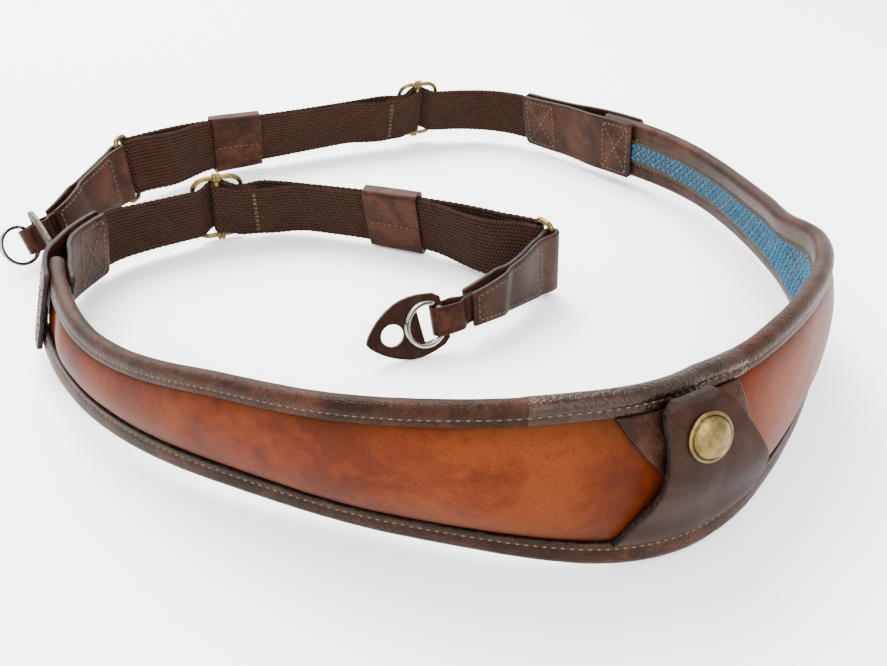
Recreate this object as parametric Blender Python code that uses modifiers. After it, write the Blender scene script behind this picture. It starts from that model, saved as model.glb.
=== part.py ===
"""Camera neck strap: a padded leather neck piece with two webbing strands, brass slides, leather keepers,
brass loops, leather end tabs, round guards and split rings. It stands on its lower edge in an open loop.

Soft pieces are drawn in strap coordinates and then laid along the strap's route:
    s  distance along the strap from the middle of the pad,
    n  distance outward from the strap's middle layer (negative is the side that lies on the neck),
    v  height above the strap's lower edge line.
Lengths are in metres and angles in degrees. World +X is right, +Y is away from the viewer, +Z is up.
"""

import math

import bmesh
import bpy
import numpy as np
from mathutils import Matrix, Vector

# Pad
PAD_HALF_RIGHT = 0.258
PAD_HALF_LEFT = 0.216
PAD_WIDE = 0.0515
PAD_NARROW = 0.0270
PAD_CROWN = 0.0030
PAD_CROWN_FULLNESS = 0.55
PANEL_CHAMFER = 0.0008
PANEL_EDGE_SHARE = 0.6
PAD_TUCK = 0.018
PAD_FADE = 0.024
PAD_TIGHT_BEND = 0.060
BINDING_ROLL = 0.0054
BINDING_LEATHER = 0.0012
BINDING_TOP_FLANGE = 0.0052
BINDING_BOTTOM_FLANGE = 0.0080
BINDING_INNER_FLANGE = 0.0088
LINING_THICKNESS = 0.0008
FIT_GAP = 0.0003
PANEL_GAP = 0.00042

# Centre band, flap and snap
BAND_LEATHER = 0.0016
BAND_GAP = 0.0005
FLAP_LEATHER = 0.0017
FLAP_STANDOFF = 0.0016
SNAP_DIAMETER = 0.0122
SNAP_DOME = 0.0026
SNAP_RIM = 0.0007
SNAP_SEAT = 0.0011
SNAP_RIM_ROUND = 0.0003
SNAP_ALONG = -0.0058
SNAP_UP = 0.0392
SNAP_POST_DIAMETER = 0.0050

# Pad end tabs
TAB_LENGTH = 0.068
TAB_WIDE = 0.0268
TAB_LEATHER = 0.0016
TAB_NARROW = 0.0268
TAB_CORNER = 0.0012
TAB_STEP = 0.0045

# Webbing
WEB_WIDTH = 0.025
WEB_THICKNESS = 0.0012
WEB_TUCK = 0.024
WEB_TAIL = 0.019
WEB_BOW = 0.0052
TAB_TO_SLIDE_RIGHT = 0.067
TAB_TO_SLIDE_LEFT = 0.052
SLIDE_TO_KEEPER_RIGHT = 0.096
SLIDE_TO_KEEPER_LEFT = 0.080
KEEPER_TO_LOOP_RIGHT = 0.054
KEEPER_TO_LOOP_LEFT = 0.063
WEB_STEP_FINE = 0.0015
WEB_STEP = 0.0045

# Keepers
KEEPER_LENGTH = 0.024
KEEPER_LEATHER = 0.0014
KEEPER_CORNER = 0.0006
KEEPER_STEP = 0.004

# Slides
SLIDE_WIRE = 0.0020
SLIDE_LENGTH = 0.0215
SLIDE_SPARE = 0.0024
SLIDE_CORNER = 0.0055
SLIDE_SLEEVE_LENGTH = 0.0032
SLIDE_SLEEVE_WALL = 0.0009

# Strap loops
LOOP_WIRE = 0.0022
LOOP_SPACING = 0.0078
LOOP_CORNER = 0.0024
LOOP_SPARE = 0.0008
LOOP_HEADING_RIGHT = 258.0
LOOP_HEADING_LEFT = -55.0

# Leather end tabs and ring strips
END_TAB_LENGTH = 0.046
END_TAB_WIDE = 0.0245
END_TAB_NARROW = 0.0125
END_TAB_LEATHER = 0.0015
END_TAB_STEP = 0.003
RING_STRIP_WIDTH = 0.0102
RING_STRIP_LEATHER = 0.0011
RING_STRIP_REACH = 0.0106
RING_STRIP_TUCK = 0.013
RING_STRIP_HALF_GAP = 0.0024
RING_STRIP_STEP = 0.0011

# Guards
GUARD_LENGTH = 0.0285
GUARD_WIDTH = 0.0220
GUARD_END_WIDTH = 0.0175
GUARD_LEATHER = 0.0016
GUARD_BAR = 0.0022
GUARD_SLOT_LENGTH = 0.0068
GUARD_SLOT_HEIGHT = 0.0132
GUARD_HOLE_DIAMETER = 0.0078
GUARD_HOLE_AT = 0.0192
GUARD_WIDEST_SHARE = 0.38
GUARD_END_SHARE = 0.05
GUARD_TIP_ROUNDNESS = 0.72

# How each guard hangs in its strip's loop.
# Values: place of its bar from the fold's centre, level of the bar, turn about up, dip of the tip.
GUARD_PLACES = {
    "left": (-0.0012, -(GUARD_LEATHER / 2 + FIT_GAP + 0.0002), -14.0, 6.0),
    "right": (-0.0036, 0.0, 63.0, 0.0),
}

# Split rings
RING_DIAMETER = 0.0160
RING_WIRE_WIDE = 0.0013
RING_WIRE_DEEP = 0.0016
RING_SEAM = 0.00018
RING_SEAT = -0.0013
RING_LEVELS = {"left": 0.0008, "right": -0.0005}

# Place of the pad's middle in the view's own frame
PAD_MIDDLE = (0.0625, 0.1535)

# Route of the right strand, from the pad's middle to its strap loop.
# Columns: stretch, share of that stretch, heading, lean (outward is positive), lift of the lower edge.
ROUTE_RIGHT = (
    ("pad", 0.0, 30.0, -9.0, 0.0),
    ("pad", 0.1, 50.0, -6.0, 0.001),
    ("pad", 0.2, 56.0, -4.0, 0.0015),
    ("pad", 0.4, 67.0, -8.0, 0.0025),
    ("pad", 0.5, 84.0, -20.0, 0.0035),
    ("pad", 0.6, 97.0, -22.0, 0.005),
    ("pad", 0.8, 109.0, -17.0, 0.007),
    ("pad", 1.0, 131.0, -6.0, 0.006),
    ("tab", 1.0, 133.0, -14.0, 0.005),
    ("slide", 0.75, 190.0, -20.0, 0.006),
    ("slide", 1.0, 199.0, -20.0, 0.0065),
    ("keeper", 0.12, 202.0, -20.0, 0.006),
    ("keeper", 1.0, 209.0, -12.0, 0.0035),
    ("loop", 0.8, 236.0, 2.0, 0.0038),
    ("loop", 1.0, 238.0, 4.0, 0.0040),
)

# Route of the left strand, with the same columns.
ROUTE_LEFT = (
    ("pad", 0.0, 210.0, -9.0, 0.0),
    ("pad", 0.15, 176.0, -1.0, 0.002),
    ("pad", 0.25, 167.0, 5.0, 0.003),
    ("pad", 0.4, 162.5, 7.0, 0.003),
    ("pad", 0.6, 158.0, 1.0, 0.005),
    ("pad", 0.8, 141.0, -8.0, 0.006),
    ("pad", 1.0, 119.0, -18.0, 0.009),
    ("tab", 1.0, 72.0, -12.0, 0.003),
    ("slide", 0.25, 46.0, -16.0, 0.003),
    ("slide", 0.75, 32.0, -18.0, 0.0033),
    ("slide", 1.0, 24.0, -18.0, 0.0034),
    ("keeper", 0.12, 20.0, -18.0, 0.0032),
    ("keeper", 0.45, -13.0, -17.0, 0.002),
    ("keeper", 1.0, -23.0, -14.0, 0.002),
    ("loop", 0.8, -36.0, -6.0, 0.0022),
    ("loop", 1.0, -38.0, -5.0, 0.0022),
)

# Routes of the two ends, from the strap loop's outer bar to past the ring. Columns as above.
END_RIGHT = (
    ("end_tab", 0.0, 255.0, 4.0, 0.0040),
    ("end_tab", 0.6, 254.0, 7.0, 0.0020),
    ("end_tab", 1.0, 250.0, 11.0, -0.0006),
    ("strip", 0.15, 249.0, 13.0, -0.0009),
    ("strip", 0.6, 243.0, 20.0, -0.0019),
    ("strip", 1.0, 240.0, 24.0, -0.0024),
)
END_LEFT = (
    ("end_tab", 0.0, -131.0, 8.0, 0.0022),
    ("end_tab", 0.6, -132.0, 2.0, 0.0016),
    ("end_tab", 1.0, -136.0, -6.0, 0.0006),
    ("strip", 0.15, -137.0, -8.0, 0.0003),
    ("strip", 0.6, -142.0, -13.0, -0.0003),
    ("strip", 1.0, -147.0, -16.0, -0.0004),
)

# Pad width along each half, from the middle to the tab. Columns: share of the half, share of the widening.
PAD_TAPER = ((0.0, 1.0), (0.15, 0.97), (0.35, 0.80), (0.55, 0.48), (0.75, 0.14), (0.9, 0.02), (1.0, 0.0))

# Outline of the under band. Columns: share of its height from the pad's top flange, left side, right side.
BAND_SIDES = (
    (0.0, -0.0262, 0.0100),
    (0.35, -0.0208, 0.0112),
    (0.68, -0.0150, 0.0112),
    (1.0, -0.0100, 0.0095),
)
BAND_HEIGHT = 0.0222

# Outline of the flap. Columns: share of its height from the pad's bottom flange, left side, right side.
FLAP_SIDES = (
    (0.0, -0.0235, 0.0184),
    (0.18, -0.0206, 0.0190),
    (0.33, -0.0180, 0.0166),
    (0.55, -0.0156, 0.0116),
    (0.75, -0.0154, 0.0070),
    (0.93, -0.0156, 0.0022),
    (1.0, -0.0140, -0.0018),
)
FLAP_HEIGHT = 0.0412
FLAP_RISE = (0.12, 0.55)

STEP_FINE = 0.0005
PAD_STEP = 0.0125
PAD_FINE_STEP = 0.0072
COLLECTION = "camera_neck_strap"

# Looks. Columns: base colour, roughness, metallic.
LEATHER_TAN = ((0.46, 0.15, 0.055, 1.0), 0.38, 0.0)
LEATHER_BROWN = ((0.085, 0.043, 0.030, 1.0), 0.45, 0.0)
WEBBING_BROWN = ((0.060, 0.034, 0.024, 1.0), 0.85, 0.0)
LINING_BLUE = ((0.02, 0.30, 0.50, 1.0), 0.80, 0.0)
BRASS = ((0.42, 0.31, 0.12, 1.0), 0.35, 1.0)
NICKEL = ((0.72, 0.68, 0.58, 1.0), 0.22, 1.0)


def blend(table, at):
    """Smooth value from a table of (place, value) rows, level at every row."""
    places = [row[0] for row in table]
    if at <= places[0]:
        return table[0][1]
    for (low, start), (high, end) in zip(table, table[1:]):
        if at <= high:
            share = (at - low) / (high - low)
            return start + (end - start) * (0.5 - 0.5 * math.cos(math.pi * share))
    return table[-1][1]


def curve_value(table, at):
    """Smooth value from a table of rows, keeping its slope through the rows."""
    xs = np.array([row[0] for row in table])
    ys = np.array([row[1] for row in table])
    slopes = np.gradient(ys, xs)
    i = int(np.clip(np.searchsorted(xs, at) - 1, 0, len(xs) - 2))
    span = xs[i + 1] - xs[i]
    t = float(np.clip((at - xs[i]) / span, 0.0, 1.0))
    rise = (2 * t**3 - 3 * t**2 + 1) * ys[i] + (3 * t**2 - 2 * t**3) * ys[i + 1]
    return float(rise + span * ((t**3 - 2 * t**2 + t) * slopes[i] + (t**3 - t**2) * slopes[i + 1]))


class Route:
    """A line on the ground with a heading, a lean and a lift at each distance along it."""

    def __init__(self, rows, stretches, start, outward, first_up=None):
        """outward is -1 when the outer side lies on the right of the walk, and +1 on its left."""
        ends = {}
        total = 0.0
        for name, length in stretches:
            ends[name] = (total, length)
            total += length
        places = [ends[row[0]][0] + row[1] * ends[row[0]][1] for row in rows]
        self.length = total
        self.outward = outward
        self.first_up = first_up
        self.s = np.arange(0.0, total + 2 * STEP_FINE, STEP_FINE)
        self.heading = np.radians(np.interp(self.s, places, [row[2] for row in rows]))
        leans = list(zip(places, [row[3] for row in rows]))
        lifts = list(zip(places, [row[4] for row in rows]))
        self.lean = np.radians([curve_value(leans, s) for s in self.s])
        self.lift = np.array([curve_value(lifts, s) for s in self.s])
        middle = (self.heading[1:] + self.heading[:-1]) / 2
        self.x = start[0] + np.concatenate([[0.0], np.cumsum(np.cos(middle)) * STEP_FINE])
        self.y = start[1] + np.concatenate([[0.0], np.cumsum(np.sin(middle)) * STEP_FINE])

    def axes(self, s):
        """Foot point and the directions along, outward and up at a distance s."""
        inside = min(max(s, 0.0), self.length)
        heading = float(np.interp(inside, self.s, self.heading))
        lean = float(np.interp(inside, self.s, self.lean))
        lift = float(np.interp(inside, self.s, self.lift))
        x = float(np.interp(inside, self.s, self.x))
        y = float(np.interp(inside, self.s, self.y))
        foot = Vector((x, y, lift))
        along = Vector((math.cos(heading), math.sin(heading), 0.0))
        foot += along * (s - inside)
        out = Vector((-along.y, along.x, 0.0)) * self.outward
        up = Vector((0.0, 0.0, 1.0)) * math.cos(lean) + out * math.sin(lean)
        if self.first_up is not None:
            fade = blend(((0.006, 1.0), (0.030, 0.0)), s)
            up = (up * (1.0 - fade) + self.first_up * fade).normalized()
        out = out - up * out.dot(up)
        out.normalize()
        return foot, along, out, up

    def place(self, s, n, v):
        """World point of the strap coordinates s, n and v."""
        foot, along, out, up = self.axes(s)
        return foot + out * n + up * v

    def matrix(self, s, n, v):
        """Frame with X along the strap, Z up across it and Y square to both, at s, n and v."""
        foot, along, out, up = self.axes(s)
        across = up.cross(along).normalized()
        straight = across.cross(up).normalized()
        spot = foot + out * n + up * v
        frame = Matrix((straight, across, up)).transposed().to_4x4()
        frame.translation = spot
        return frame


def pad_strap(routes):
    """Mapping of the pad, whose s is positive on the right half and negative on the left half."""
    def place(s, n, v):
        if s >= 0.0:
            return routes["right"].place(s, n, v)
        return routes["left"].place(-s, n, v)
    return place


def pad_width(s):
    """Width of the pad at s."""
    half = PAD_HALF_RIGHT if s >= 0.0 else PAD_HALF_LEFT
    share = min(abs(s) / half, 1.0)
    return PAD_NARROW + (PAD_WIDE - PAD_NARROW) * curve_value(PAD_TAPER, share)


def pad_crown(s, v):
    """Outward reach of the padded panel's face at s and v, from the strap's middle layer."""
    width = pad_width(s)
    open_height = width - BINDING_BOTTOM_FLANGE - BINDING_TOP_FLANGE
    t = min(max((v - BINDING_BOTTOM_FLANGE) / open_height, 0.0), 1.0)
    base = BINDING_ROLL / 2 - BINDING_LEATHER - PANEL_GAP
    widest = PAD_WIDE - BINDING_BOTTOM_FLANGE - BINDING_TOP_FLANGE
    fullness = (open_height / widest) ** 0.5
    half = PAD_HALF_RIGHT if s >= 0.0 else PAD_HALF_LEFT
    fade = blend(((half - PAD_FADE, 1.0), (half - 0.003, 0.0)), abs(s))
    bulge = math.sin(math.pi * t) ** PAD_CROWN_FULLNESS
    return base + (BINDING_LEATHER + PAD_CROWN * fullness) * fade * bulge


def material(name, look):
    """Principled material of a sub-part."""
    colour, roughness, metallic = look
    made = bpy.data.materials.new(name)
    made.use_nodes = True
    made.diffuse_color = colour
    shader = made.node_tree.nodes["Principled BSDF"]
    shader.inputs["Base Color"].default_value = colour
    shader.inputs["Roughness"].default_value = roughness
    shader.inputs["Metallic"].default_value = metallic
    return made


def finish(obj, look, smooth=True):
    """Gives an object its material, its shading and its place in the strap's collection."""
    obj.data.materials.clear()
    obj.data.materials.append(material(obj.name, look))
    if smooth and obj.type == "MESH":
        obj.data.shade_smooth()
        obj.data.set_sharp_from_angle(angle=math.radians(40))
    for owner in list(obj.users_collection):
        owner.objects.unlink(obj)
    bpy.data.collections[COLLECTION].objects.link(obj)
    return obj


def mesh_object(name, points, faces):
    """Object from points and faces."""
    mesh = bpy.data.meshes.new(name)
    mesh.from_pydata([tuple(p) for p in points], [], faces)
    mesh.update()
    obj = bpy.data.objects.new(name, mesh)
    bpy.context.scene.collection.objects.link(obj)
    return obj


def sheet(name, rows, thickness, look, closed=False):
    """Leather or woven sheet: a grid of points given row by row, thickened evenly to both sides."""
    count = len(rows[0])
    points = [p for row in rows for p in row]
    faces = []
    for i in range(len(rows) - 1):
        for j in range(count if closed else count - 1):
            k = (j + 1) % count
            faces.append((i * count + j, i * count + k, (i + 1) * count + k, (i + 1) * count + j))
    obj = mesh_object(name, points, faces)
    wall = obj.modifiers.new("thickness", "SOLIDIFY")
    wall.thickness = thickness
    wall.offset = 0.0
    wall.use_even_offset = True
    return finish(obj, look)


def loft(name, sections, look):
    """Closed body through sections of equal point counts, with flat ends."""
    count = len(sections[0])
    points = [p for section in sections for p in section]
    faces = []
    for i in range(len(sections) - 1):
        for j in range(count):
            k = (j + 1) % count
            faces.append((i * count + j, (i + 1) * count + j, (i + 1) * count + k, i * count + k))
    last = (len(sections) - 1) * count
    faces.append(tuple(range(count)))
    faces.append(tuple(last + j for j in reversed(range(count))))
    obj = mesh_object(name, points, faces)
    shape = bmesh.new()
    shape.from_mesh(obj.data)
    bmesh.ops.recalc_face_normals(shape, faces=shape.faces)
    shape.to_mesh(obj.data)
    shape.free()
    return finish(obj, look)


def spaced(start, end, step):
    """Even places from start to end, no further apart than step."""
    count = max(1, math.ceil(abs(end - start) / step - 1e-9))
    return [start + (end - start) * i / count for i in range(count + 1)]


def wire_ring(name, points, diameter, look):
    """Closed wire through points in its own XZ plane."""
    curve = bpy.data.curves.new(name, "CURVE")
    curve.dimensions = "3D"
    curve.bevel_depth = diameter / 2
    curve.bevel_resolution = 2
    line = curve.splines.new("POLY")
    line.points.add(len(points) - 1)
    for point, (x, z) in zip(line.points, points):
        point.co = (x, 0.0, z, 1.0)
    line.use_cyclic_u = True
    obj = bpy.data.objects.new(name, curve)
    bpy.context.scene.collection.objects.link(obj)
    return finish(obj, look, smooth=False)


def rounded_box(half_x, half_z, corner, steps=4):
    """Points of an upright rectangle with round corners."""
    points = []
    for turn, (sx, sz) in enumerate(((1, 1), (-1, 1), (-1, -1), (1, -1))):
        for i in range(steps + 1):
            angle = math.pi / 2 * (turn + i / steps)
            x = sx * (half_x - corner) + corner * math.cos(angle)
            z = sz * (half_z - corner) + corner * math.sin(angle)
            points.append((x, z))
    return points


def turned(name, profile, look, steps):
    """Turned body about its own Z axis, from a profile of (radius, height) that runs down its outer side."""
    obj = mesh_object(name, [(r, 0.0, z) for r, z in profile], [])
    starts_on_axis = profile[0][0] == 0.0
    obj.data.edges.add(len(profile) - 1 if starts_on_axis else len(profile))
    for i, edge in enumerate(obj.data.edges):
        edge.vertices = (i, (i + 1) % len(profile))
    screw = obj.modifiers.new("turn", "SCREW")
    screw.steps = steps
    screw.render_steps = steps
    screw.use_merge_vertices = True
    screw.merge_threshold = 0.00001
    return finish(obj, look, smooth=False)


def applied(obj):
    """Turns an object's evaluated shape into its own plain mesh."""
    graph = bpy.context.evaluated_depsgraph_get()
    mesh = bpy.data.meshes.new_from_object(obj.evaluated_get(graph))
    name = obj.name
    place = obj.matrix_world.copy()
    bpy.data.objects.remove(obj, do_unlink=True)
    made = bpy.data.objects.new(name, mesh)
    bpy.context.scene.collection.objects.link(made)
    made.matrix_world = place
    shape = bmesh.new()
    shape.from_mesh(mesh)
    bmesh.ops.remove_doubles(shape, verts=shape.verts, dist=0.00001)
    bmesh.ops.recalc_face_normals(shape, faces=shape.faces)
    shape.to_mesh(mesh)
    shape.free()
    return made


def combine(base, tool, operation):
    """Boolean of a tool object on a base object; the tool goes to the cutters' collection."""
    cut = base.modifiers.new(operation.lower(), "BOOLEAN")
    cut.operation = operation
    cut.solver = "EXACT"
    cut.object = tool
    tool.hide_render = True
    tool.display_type = "WIRE"
    for owner in list(tool.users_collection):
        owner.objects.unlink(tool)
    bpy.data.collections["cutters"].objects.link(tool)


def pad_stations():
    """Places along the pad, ends included."""
    left = spaced(-(PAD_HALF_LEFT + PAD_TUCK), -PAD_TIGHT_BEND, PAD_STEP)
    middle = spaced(-PAD_TIGHT_BEND, PAD_TIGHT_BEND, PAD_FINE_STEP)
    right = spaced(PAD_TIGHT_BEND, PAD_HALF_RIGHT + PAD_TUCK, PAD_STEP)
    return left + middle[1:] + right[1:]


def build_pad(place):
    """Padded panel, its two bindings and its lining."""
    half = BINDING_ROLL / 2
    inside = half - BINDING_LEATHER - PANEL_GAP
    edge = BINDING_LEATHER + PANEL_GAP
    back = -(half - LINING_THICKNESS - FIT_GAP)
    sections = []
    for s in pad_stations():
        width = pad_width(s)
        low = BINDING_BOTTOM_FLANGE
        high = width - BINDING_TOP_FLANGE
        shelf = BINDING_INNER_FLANGE + FIT_GAP
        flat = inside * PANEL_EDGE_SHARE
        chamfer = edge + PANEL_CHAMFER
        slope = shelf + PANEL_CHAMFER
        outline = [(-flat, edge), (flat, edge), (inside, chamfer), (inside, low)]
        for t in (0.08, 0.24, 0.5, 0.76, 0.92):
            v = low + (high - low) * t
            outline.append((pad_crown(s, v), v))
        outline += [(inside, high), (inside, width - chamfer), (flat, width - edge)]
        outline += [(-flat, width - edge), (-inside, width - chamfer)]
        outline += [(-inside, width - shelf), (back, width - slope)]
        outline += [(back, shelf + (width - 2 * shelf) * t) for t in (2 / 3, 1 / 3)]
        outline += [(back, slope), (-inside, shelf), (-inside, chamfer)]
        sections.append([place(s, n, v) for n, v in outline])
    loft("pad_body", sections, LEATHER_TAN)

    middle = half - BINDING_LEATHER / 2
    flanges = (("binding_top", BINDING_TOP_FLANGE, True), ("binding_bottom", BINDING_BOTTOM_FLANGE, False))
    for name, flange, top in flanges:
        rows = []
        for s in pad_stations():
            width = pad_width(s)
            profile = [(middle, flange)]
            for angle in (0, 45, 90, 135, 180):
                a = math.radians(angle)
                profile.append((middle * math.cos(a), half - middle * math.sin(a)))
            profile.append((-middle, BINDING_INNER_FLANGE))
            if top:
                profile = [(n, width - v) for n, v in profile]
            rows.append([place(s, n, v) for n, v in profile])
        sheet(name, rows, BINDING_LEATHER, LEATHER_BROWN)

    rows = []
    level = -(half - LINING_THICKNESS / 2)
    margin = BINDING_INNER_FLANGE + FIT_GAP
    for s in pad_stations():
        width = pad_width(s)
        rows.append([place(s, level, margin + (width - 2 * margin) * t) for t in (0.0, 1 / 3, 2 / 3, 1.0)])
    sheet("lining", rows, LINING_THICKNESS, LINING_BLUE)


def side_rows(sides, share):
    """Left and right sides of an outline at a share of its height."""
    left = curve_value([(row[0], row[1]) for row in sides], share)
    right = curve_value([(row[0], row[2]) for row in sides], share)
    return left, right


def build_centre(place):
    """Under band, flap and snap in the pad's middle."""
    low = BINDING_BOTTOM_FLANGE + FIT_GAP
    drop = BINDING_TOP_FLANGE + FIT_GAP
    rows = []
    for share in (0.0, 0.12, 0.25, 0.4, 0.55, 0.7, 0.85, 1.0):
        left, right = side_rows(BAND_SIDES, share)
        row = []
        for s in spaced(left, right, (right - left) / 8):
            v = pad_width(s) - drop - BAND_HEIGHT * share
            row.append(place(s, pad_crown(s, v) + BAND_GAP + BAND_LEATHER / 2, v))
        rows.append(row)
    sheet("band_upper", rows, BAND_LEATHER, LEATHER_BROWN)

    rows = []
    for share in (0.0, 0.08, 0.16, 0.26, 0.38, 0.5, 0.62, 0.74, 0.85, 0.93, 0.98, 1.0):
        left, right = side_rows(FLAP_SIDES, share)
        v = low + FLAP_HEIGHT * share
        rise = blend(((FLAP_RISE[0], 0.0), (FLAP_RISE[1], 1.0)), share)
        lay = []
        for s in spaced(left, right, (right - left) / 8):
            n = pad_crown(s, v) + BAND_GAP + FLAP_LEATHER / 2
            lay.append((s, n + rise * (BAND_LEATHER + FIT_GAP + FLAP_STANDOFF)))
        rows.append([place(s, n, v) for s, n in lay])
    sheet("band_flap", rows, FLAP_LEATHER, LEATHER_BROWN)


def snap_frame(place):
    """Frame of the snap on the under band's outer face: Z points outward, square to the band's slope."""
    reach = SNAP_POST_DIAMETER / 2

    def on_band(v, above=0.0):
        n = pad_crown(SNAP_ALONG, v) + BAND_GAP + BAND_LEATHER + above
        return place(SNAP_ALONG, n, v)

    spot = on_band(SNAP_UP)
    up = (on_band(SNAP_UP + reach) - on_band(SNAP_UP - reach)).normalized()
    axis = on_band(SNAP_UP, reach) - spot
    axis = (axis - up * axis.dot(up)).normalized()
    frame = Matrix((up.cross(axis), up, axis)).transposed().to_4x4()
    frame.translation = spot
    return frame


def build_snap(place):
    """Domed cap on the flap and the plain post between flap and band."""
    frame = snap_frame(place)
    face = FIT_GAP + FLAP_STANDOFF + FLAP_LEATHER + FIT_GAP
    radius = SNAP_DIAMETER / 2
    profile = [(0.0, SNAP_DOME)]
    for i in range(1, 5):
        angle = math.pi / 2 * i / 4
        profile.append((radius * math.sin(angle), SNAP_RIM + (SNAP_DOME - SNAP_RIM) * math.cos(angle)))
    profile += [(radius, SNAP_RIM_ROUND), (radius - SNAP_RIM_ROUND, 0.0), (0.0, 0.0)]
    cap = turned("snap_cap", profile, BRASS, 28)
    cap.matrix_world = frame @ Matrix.Translation((0.0, 0.0, face + SNAP_SEAT))
    post_radius = SNAP_POST_DIAMETER / 2
    height = FLAP_STANDOFF - 2.6 * FIT_GAP
    profile = [(0.0, height), (post_radius, height), (post_radius, 0.0), (0.0, 0.0)]
    post = turned("snap_post", profile, BRASS, 16)
    post.matrix_world = frame @ Matrix.Translation((0.0, 0.0, 1.4 * FIT_GAP))


def build_tabs(side, route, pad_half):
    """Outer and inner leather layers that join the pad's end to the webbing."""
    pad_face = BINDING_ROLL / 2 + FIT_GAP + TAB_LEATHER / 2
    web_face = WEB_THICKNESS / 2 + FIT_GAP + TAB_LEATHER / 2
    levels = ((PAD_TUCK + 0.001, pad_face), (TAB_LENGTH - WEB_TUCK - 0.001, web_face))
    for layer, sign in (("outer", 1.0), ("inner", -1.0)):
        rows = []
        for along in spaced(0.0, TAB_LENGTH, TAB_STEP):
            share = along / TAB_LENGTH
            width = TAB_WIDE + (TAB_NARROW - TAB_WIDE) * share
            low = (PAD_NARROW - TAB_WIDE) / 2 * (1.0 - share)
            trim = TAB_CORNER if along in (0.0, TAB_LENGTH) else 0.0
            n = sign * blend(levels, along)
            heights = [low + trim, low + width / 3, low + width * 2 / 3, low + width - trim]
            rows.append([route.place(pad_half + along, n, v) for v in heights])
        sheet("tab_%s_%s" % (layer, side), rows, TAB_LEATHER, LEATHER_BROWN)


def arc(centre, radius, start, end, steps):
    """Points of an arc in the (s, n) plane, ends included."""
    points = []
    for i in range(steps + 1):
        angle = math.radians(start + (end - start) * i / steps)
        points.append((centre + radius * math.cos(angle), radius * math.sin(angle)))
    return points


def web_path(tab_end, slide, keeper, loop):
    """Path of a webbing strand in (s, n): out through slide and keeper, round the loop's bar and back."""
    pitch = WEB_THICKNESS + FIT_GAP
    rail = SLIDE_WIRE / 2 + FIT_GAP + WEB_THICKNESS / 2
    wrap = LOOP_WIRE / 2 + FIT_GAP + WEB_THICKNESS / 2
    reach = SLIDE_LENGTH / 2 - SLIDE_WIRE / 2
    out = (
        (tab_end, 0.0),
        (slide - reach, -rail),
        (slide, rail + pitch),
        (slide + reach, -rail),
        (slide + reach + 0.012, 0.0),
        (loop - 0.018, 0.0),
        (loop, wrap),
    )
    back = (
        (slide, -rail),
        (slide + reach, -rail - 2 * pitch),
        (slide + WEB_TAIL, -rail - 2 * pitch),
        (slide + WEB_TAIL + 0.022, -pitch),
        (keeper + KEEPER_LENGTH / 2, -pitch),
        (keeper + KEEPER_LENGTH / 2 + 0.62 * (loop - keeper - KEEPER_LENGTH / 2), -pitch - WEB_BOW),
        (loop, -wrap),
    )
    tail = ((slide, rail), (slide + reach, -rail - pitch), (slide + WEB_TAIL, -rail - pitch))
    points = []
    for low, high, step in (
        (tab_end - WEB_TUCK, slide - reach - 0.004, WEB_STEP),
        (slide - reach - 0.004, slide + reach + 0.006, WEB_STEP_FINE),
        (slide + reach + 0.006, loop, WEB_STEP),
    ):
        points += [(s, blend(out, s)) for s in spaced(low, high, step)[:-1]]
    points += arc(loop, wrap, 90, -90, 8)
    for high, low, step in (
        (loop, slide + WEB_TAIL + 0.004, WEB_STEP),
        (slide + WEB_TAIL + 0.004, slide, WEB_STEP_FINE),
    ):
        points += [(s, blend(back, s)) for s in spaced(high, low, step)[1:]]
    points += arc(slide, rail, 270, 90, 8)[1:]
    points += [(s, blend(tail, s)) for s in spaced(slide, slide + WEB_TAIL, WEB_STEP_FINE)[1:]]
    return points


def ribbon(name, route, path, heights, thickness, look):
    """Flat ribbon along a path in (s, n); heights(s) gives its lower and upper edges."""
    rows = []
    for s, n in path:
        low, high = heights(s)
        rows.append([route.place(s, n, low), route.place(s, n, high)])
    return sheet(name, rows, thickness, look)


def web_foot():
    """Height of the webbing's lower edge above the route's foot line."""
    return (TAB_NARROW - WEB_WIDTH) / 2


def build_webbing(side, route, marks):
    """One folded webbing strand."""
    path = web_path(marks["tab"], marks["slide"], marks["keeper"], marks["loop"])
    low = web_foot()
    ribbon("webbing_" + side, route, path, lambda s: (low, low + WEB_WIDTH), WEB_THICKNESS, WEBBING_BROWN)


def build_keeper(side, route, keeper):
    """Leather sleeve round the two webbing layers."""
    grow = KEEPER_LEATHER / 2 + FIT_GAP
    high_n = WEB_THICKNESS / 2 + grow
    low_n = -(WEB_THICKNESS * 1.5 + FIT_GAP + grow)
    low_v = web_foot() - grow
    high_v = web_foot() + WEB_WIDTH + grow
    cut = KEEPER_CORNER
    middle_v = (low_v + high_v) / 2
    outline = [(high_n, low_v + cut), (high_n, middle_v), (high_n, high_v - cut)]
    outline += [(high_n - cut, high_v), (low_n + cut, high_v)]
    outline += [(low_n, high_v - cut), (low_n, middle_v), (low_n, low_v + cut)]
    outline += [(low_n + cut, low_v), (high_n - cut, low_v)]
    rows = []
    for s in spaced(keeper - KEEPER_LENGTH / 2, keeper + KEEPER_LENGTH / 2, KEEPER_STEP):
        rows.append([route.place(s, n, v) for n, v in outline])
    sheet("keeper_" + side, rows, KEEPER_LEATHER, LEATHER_BROWN, closed=True)


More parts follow.
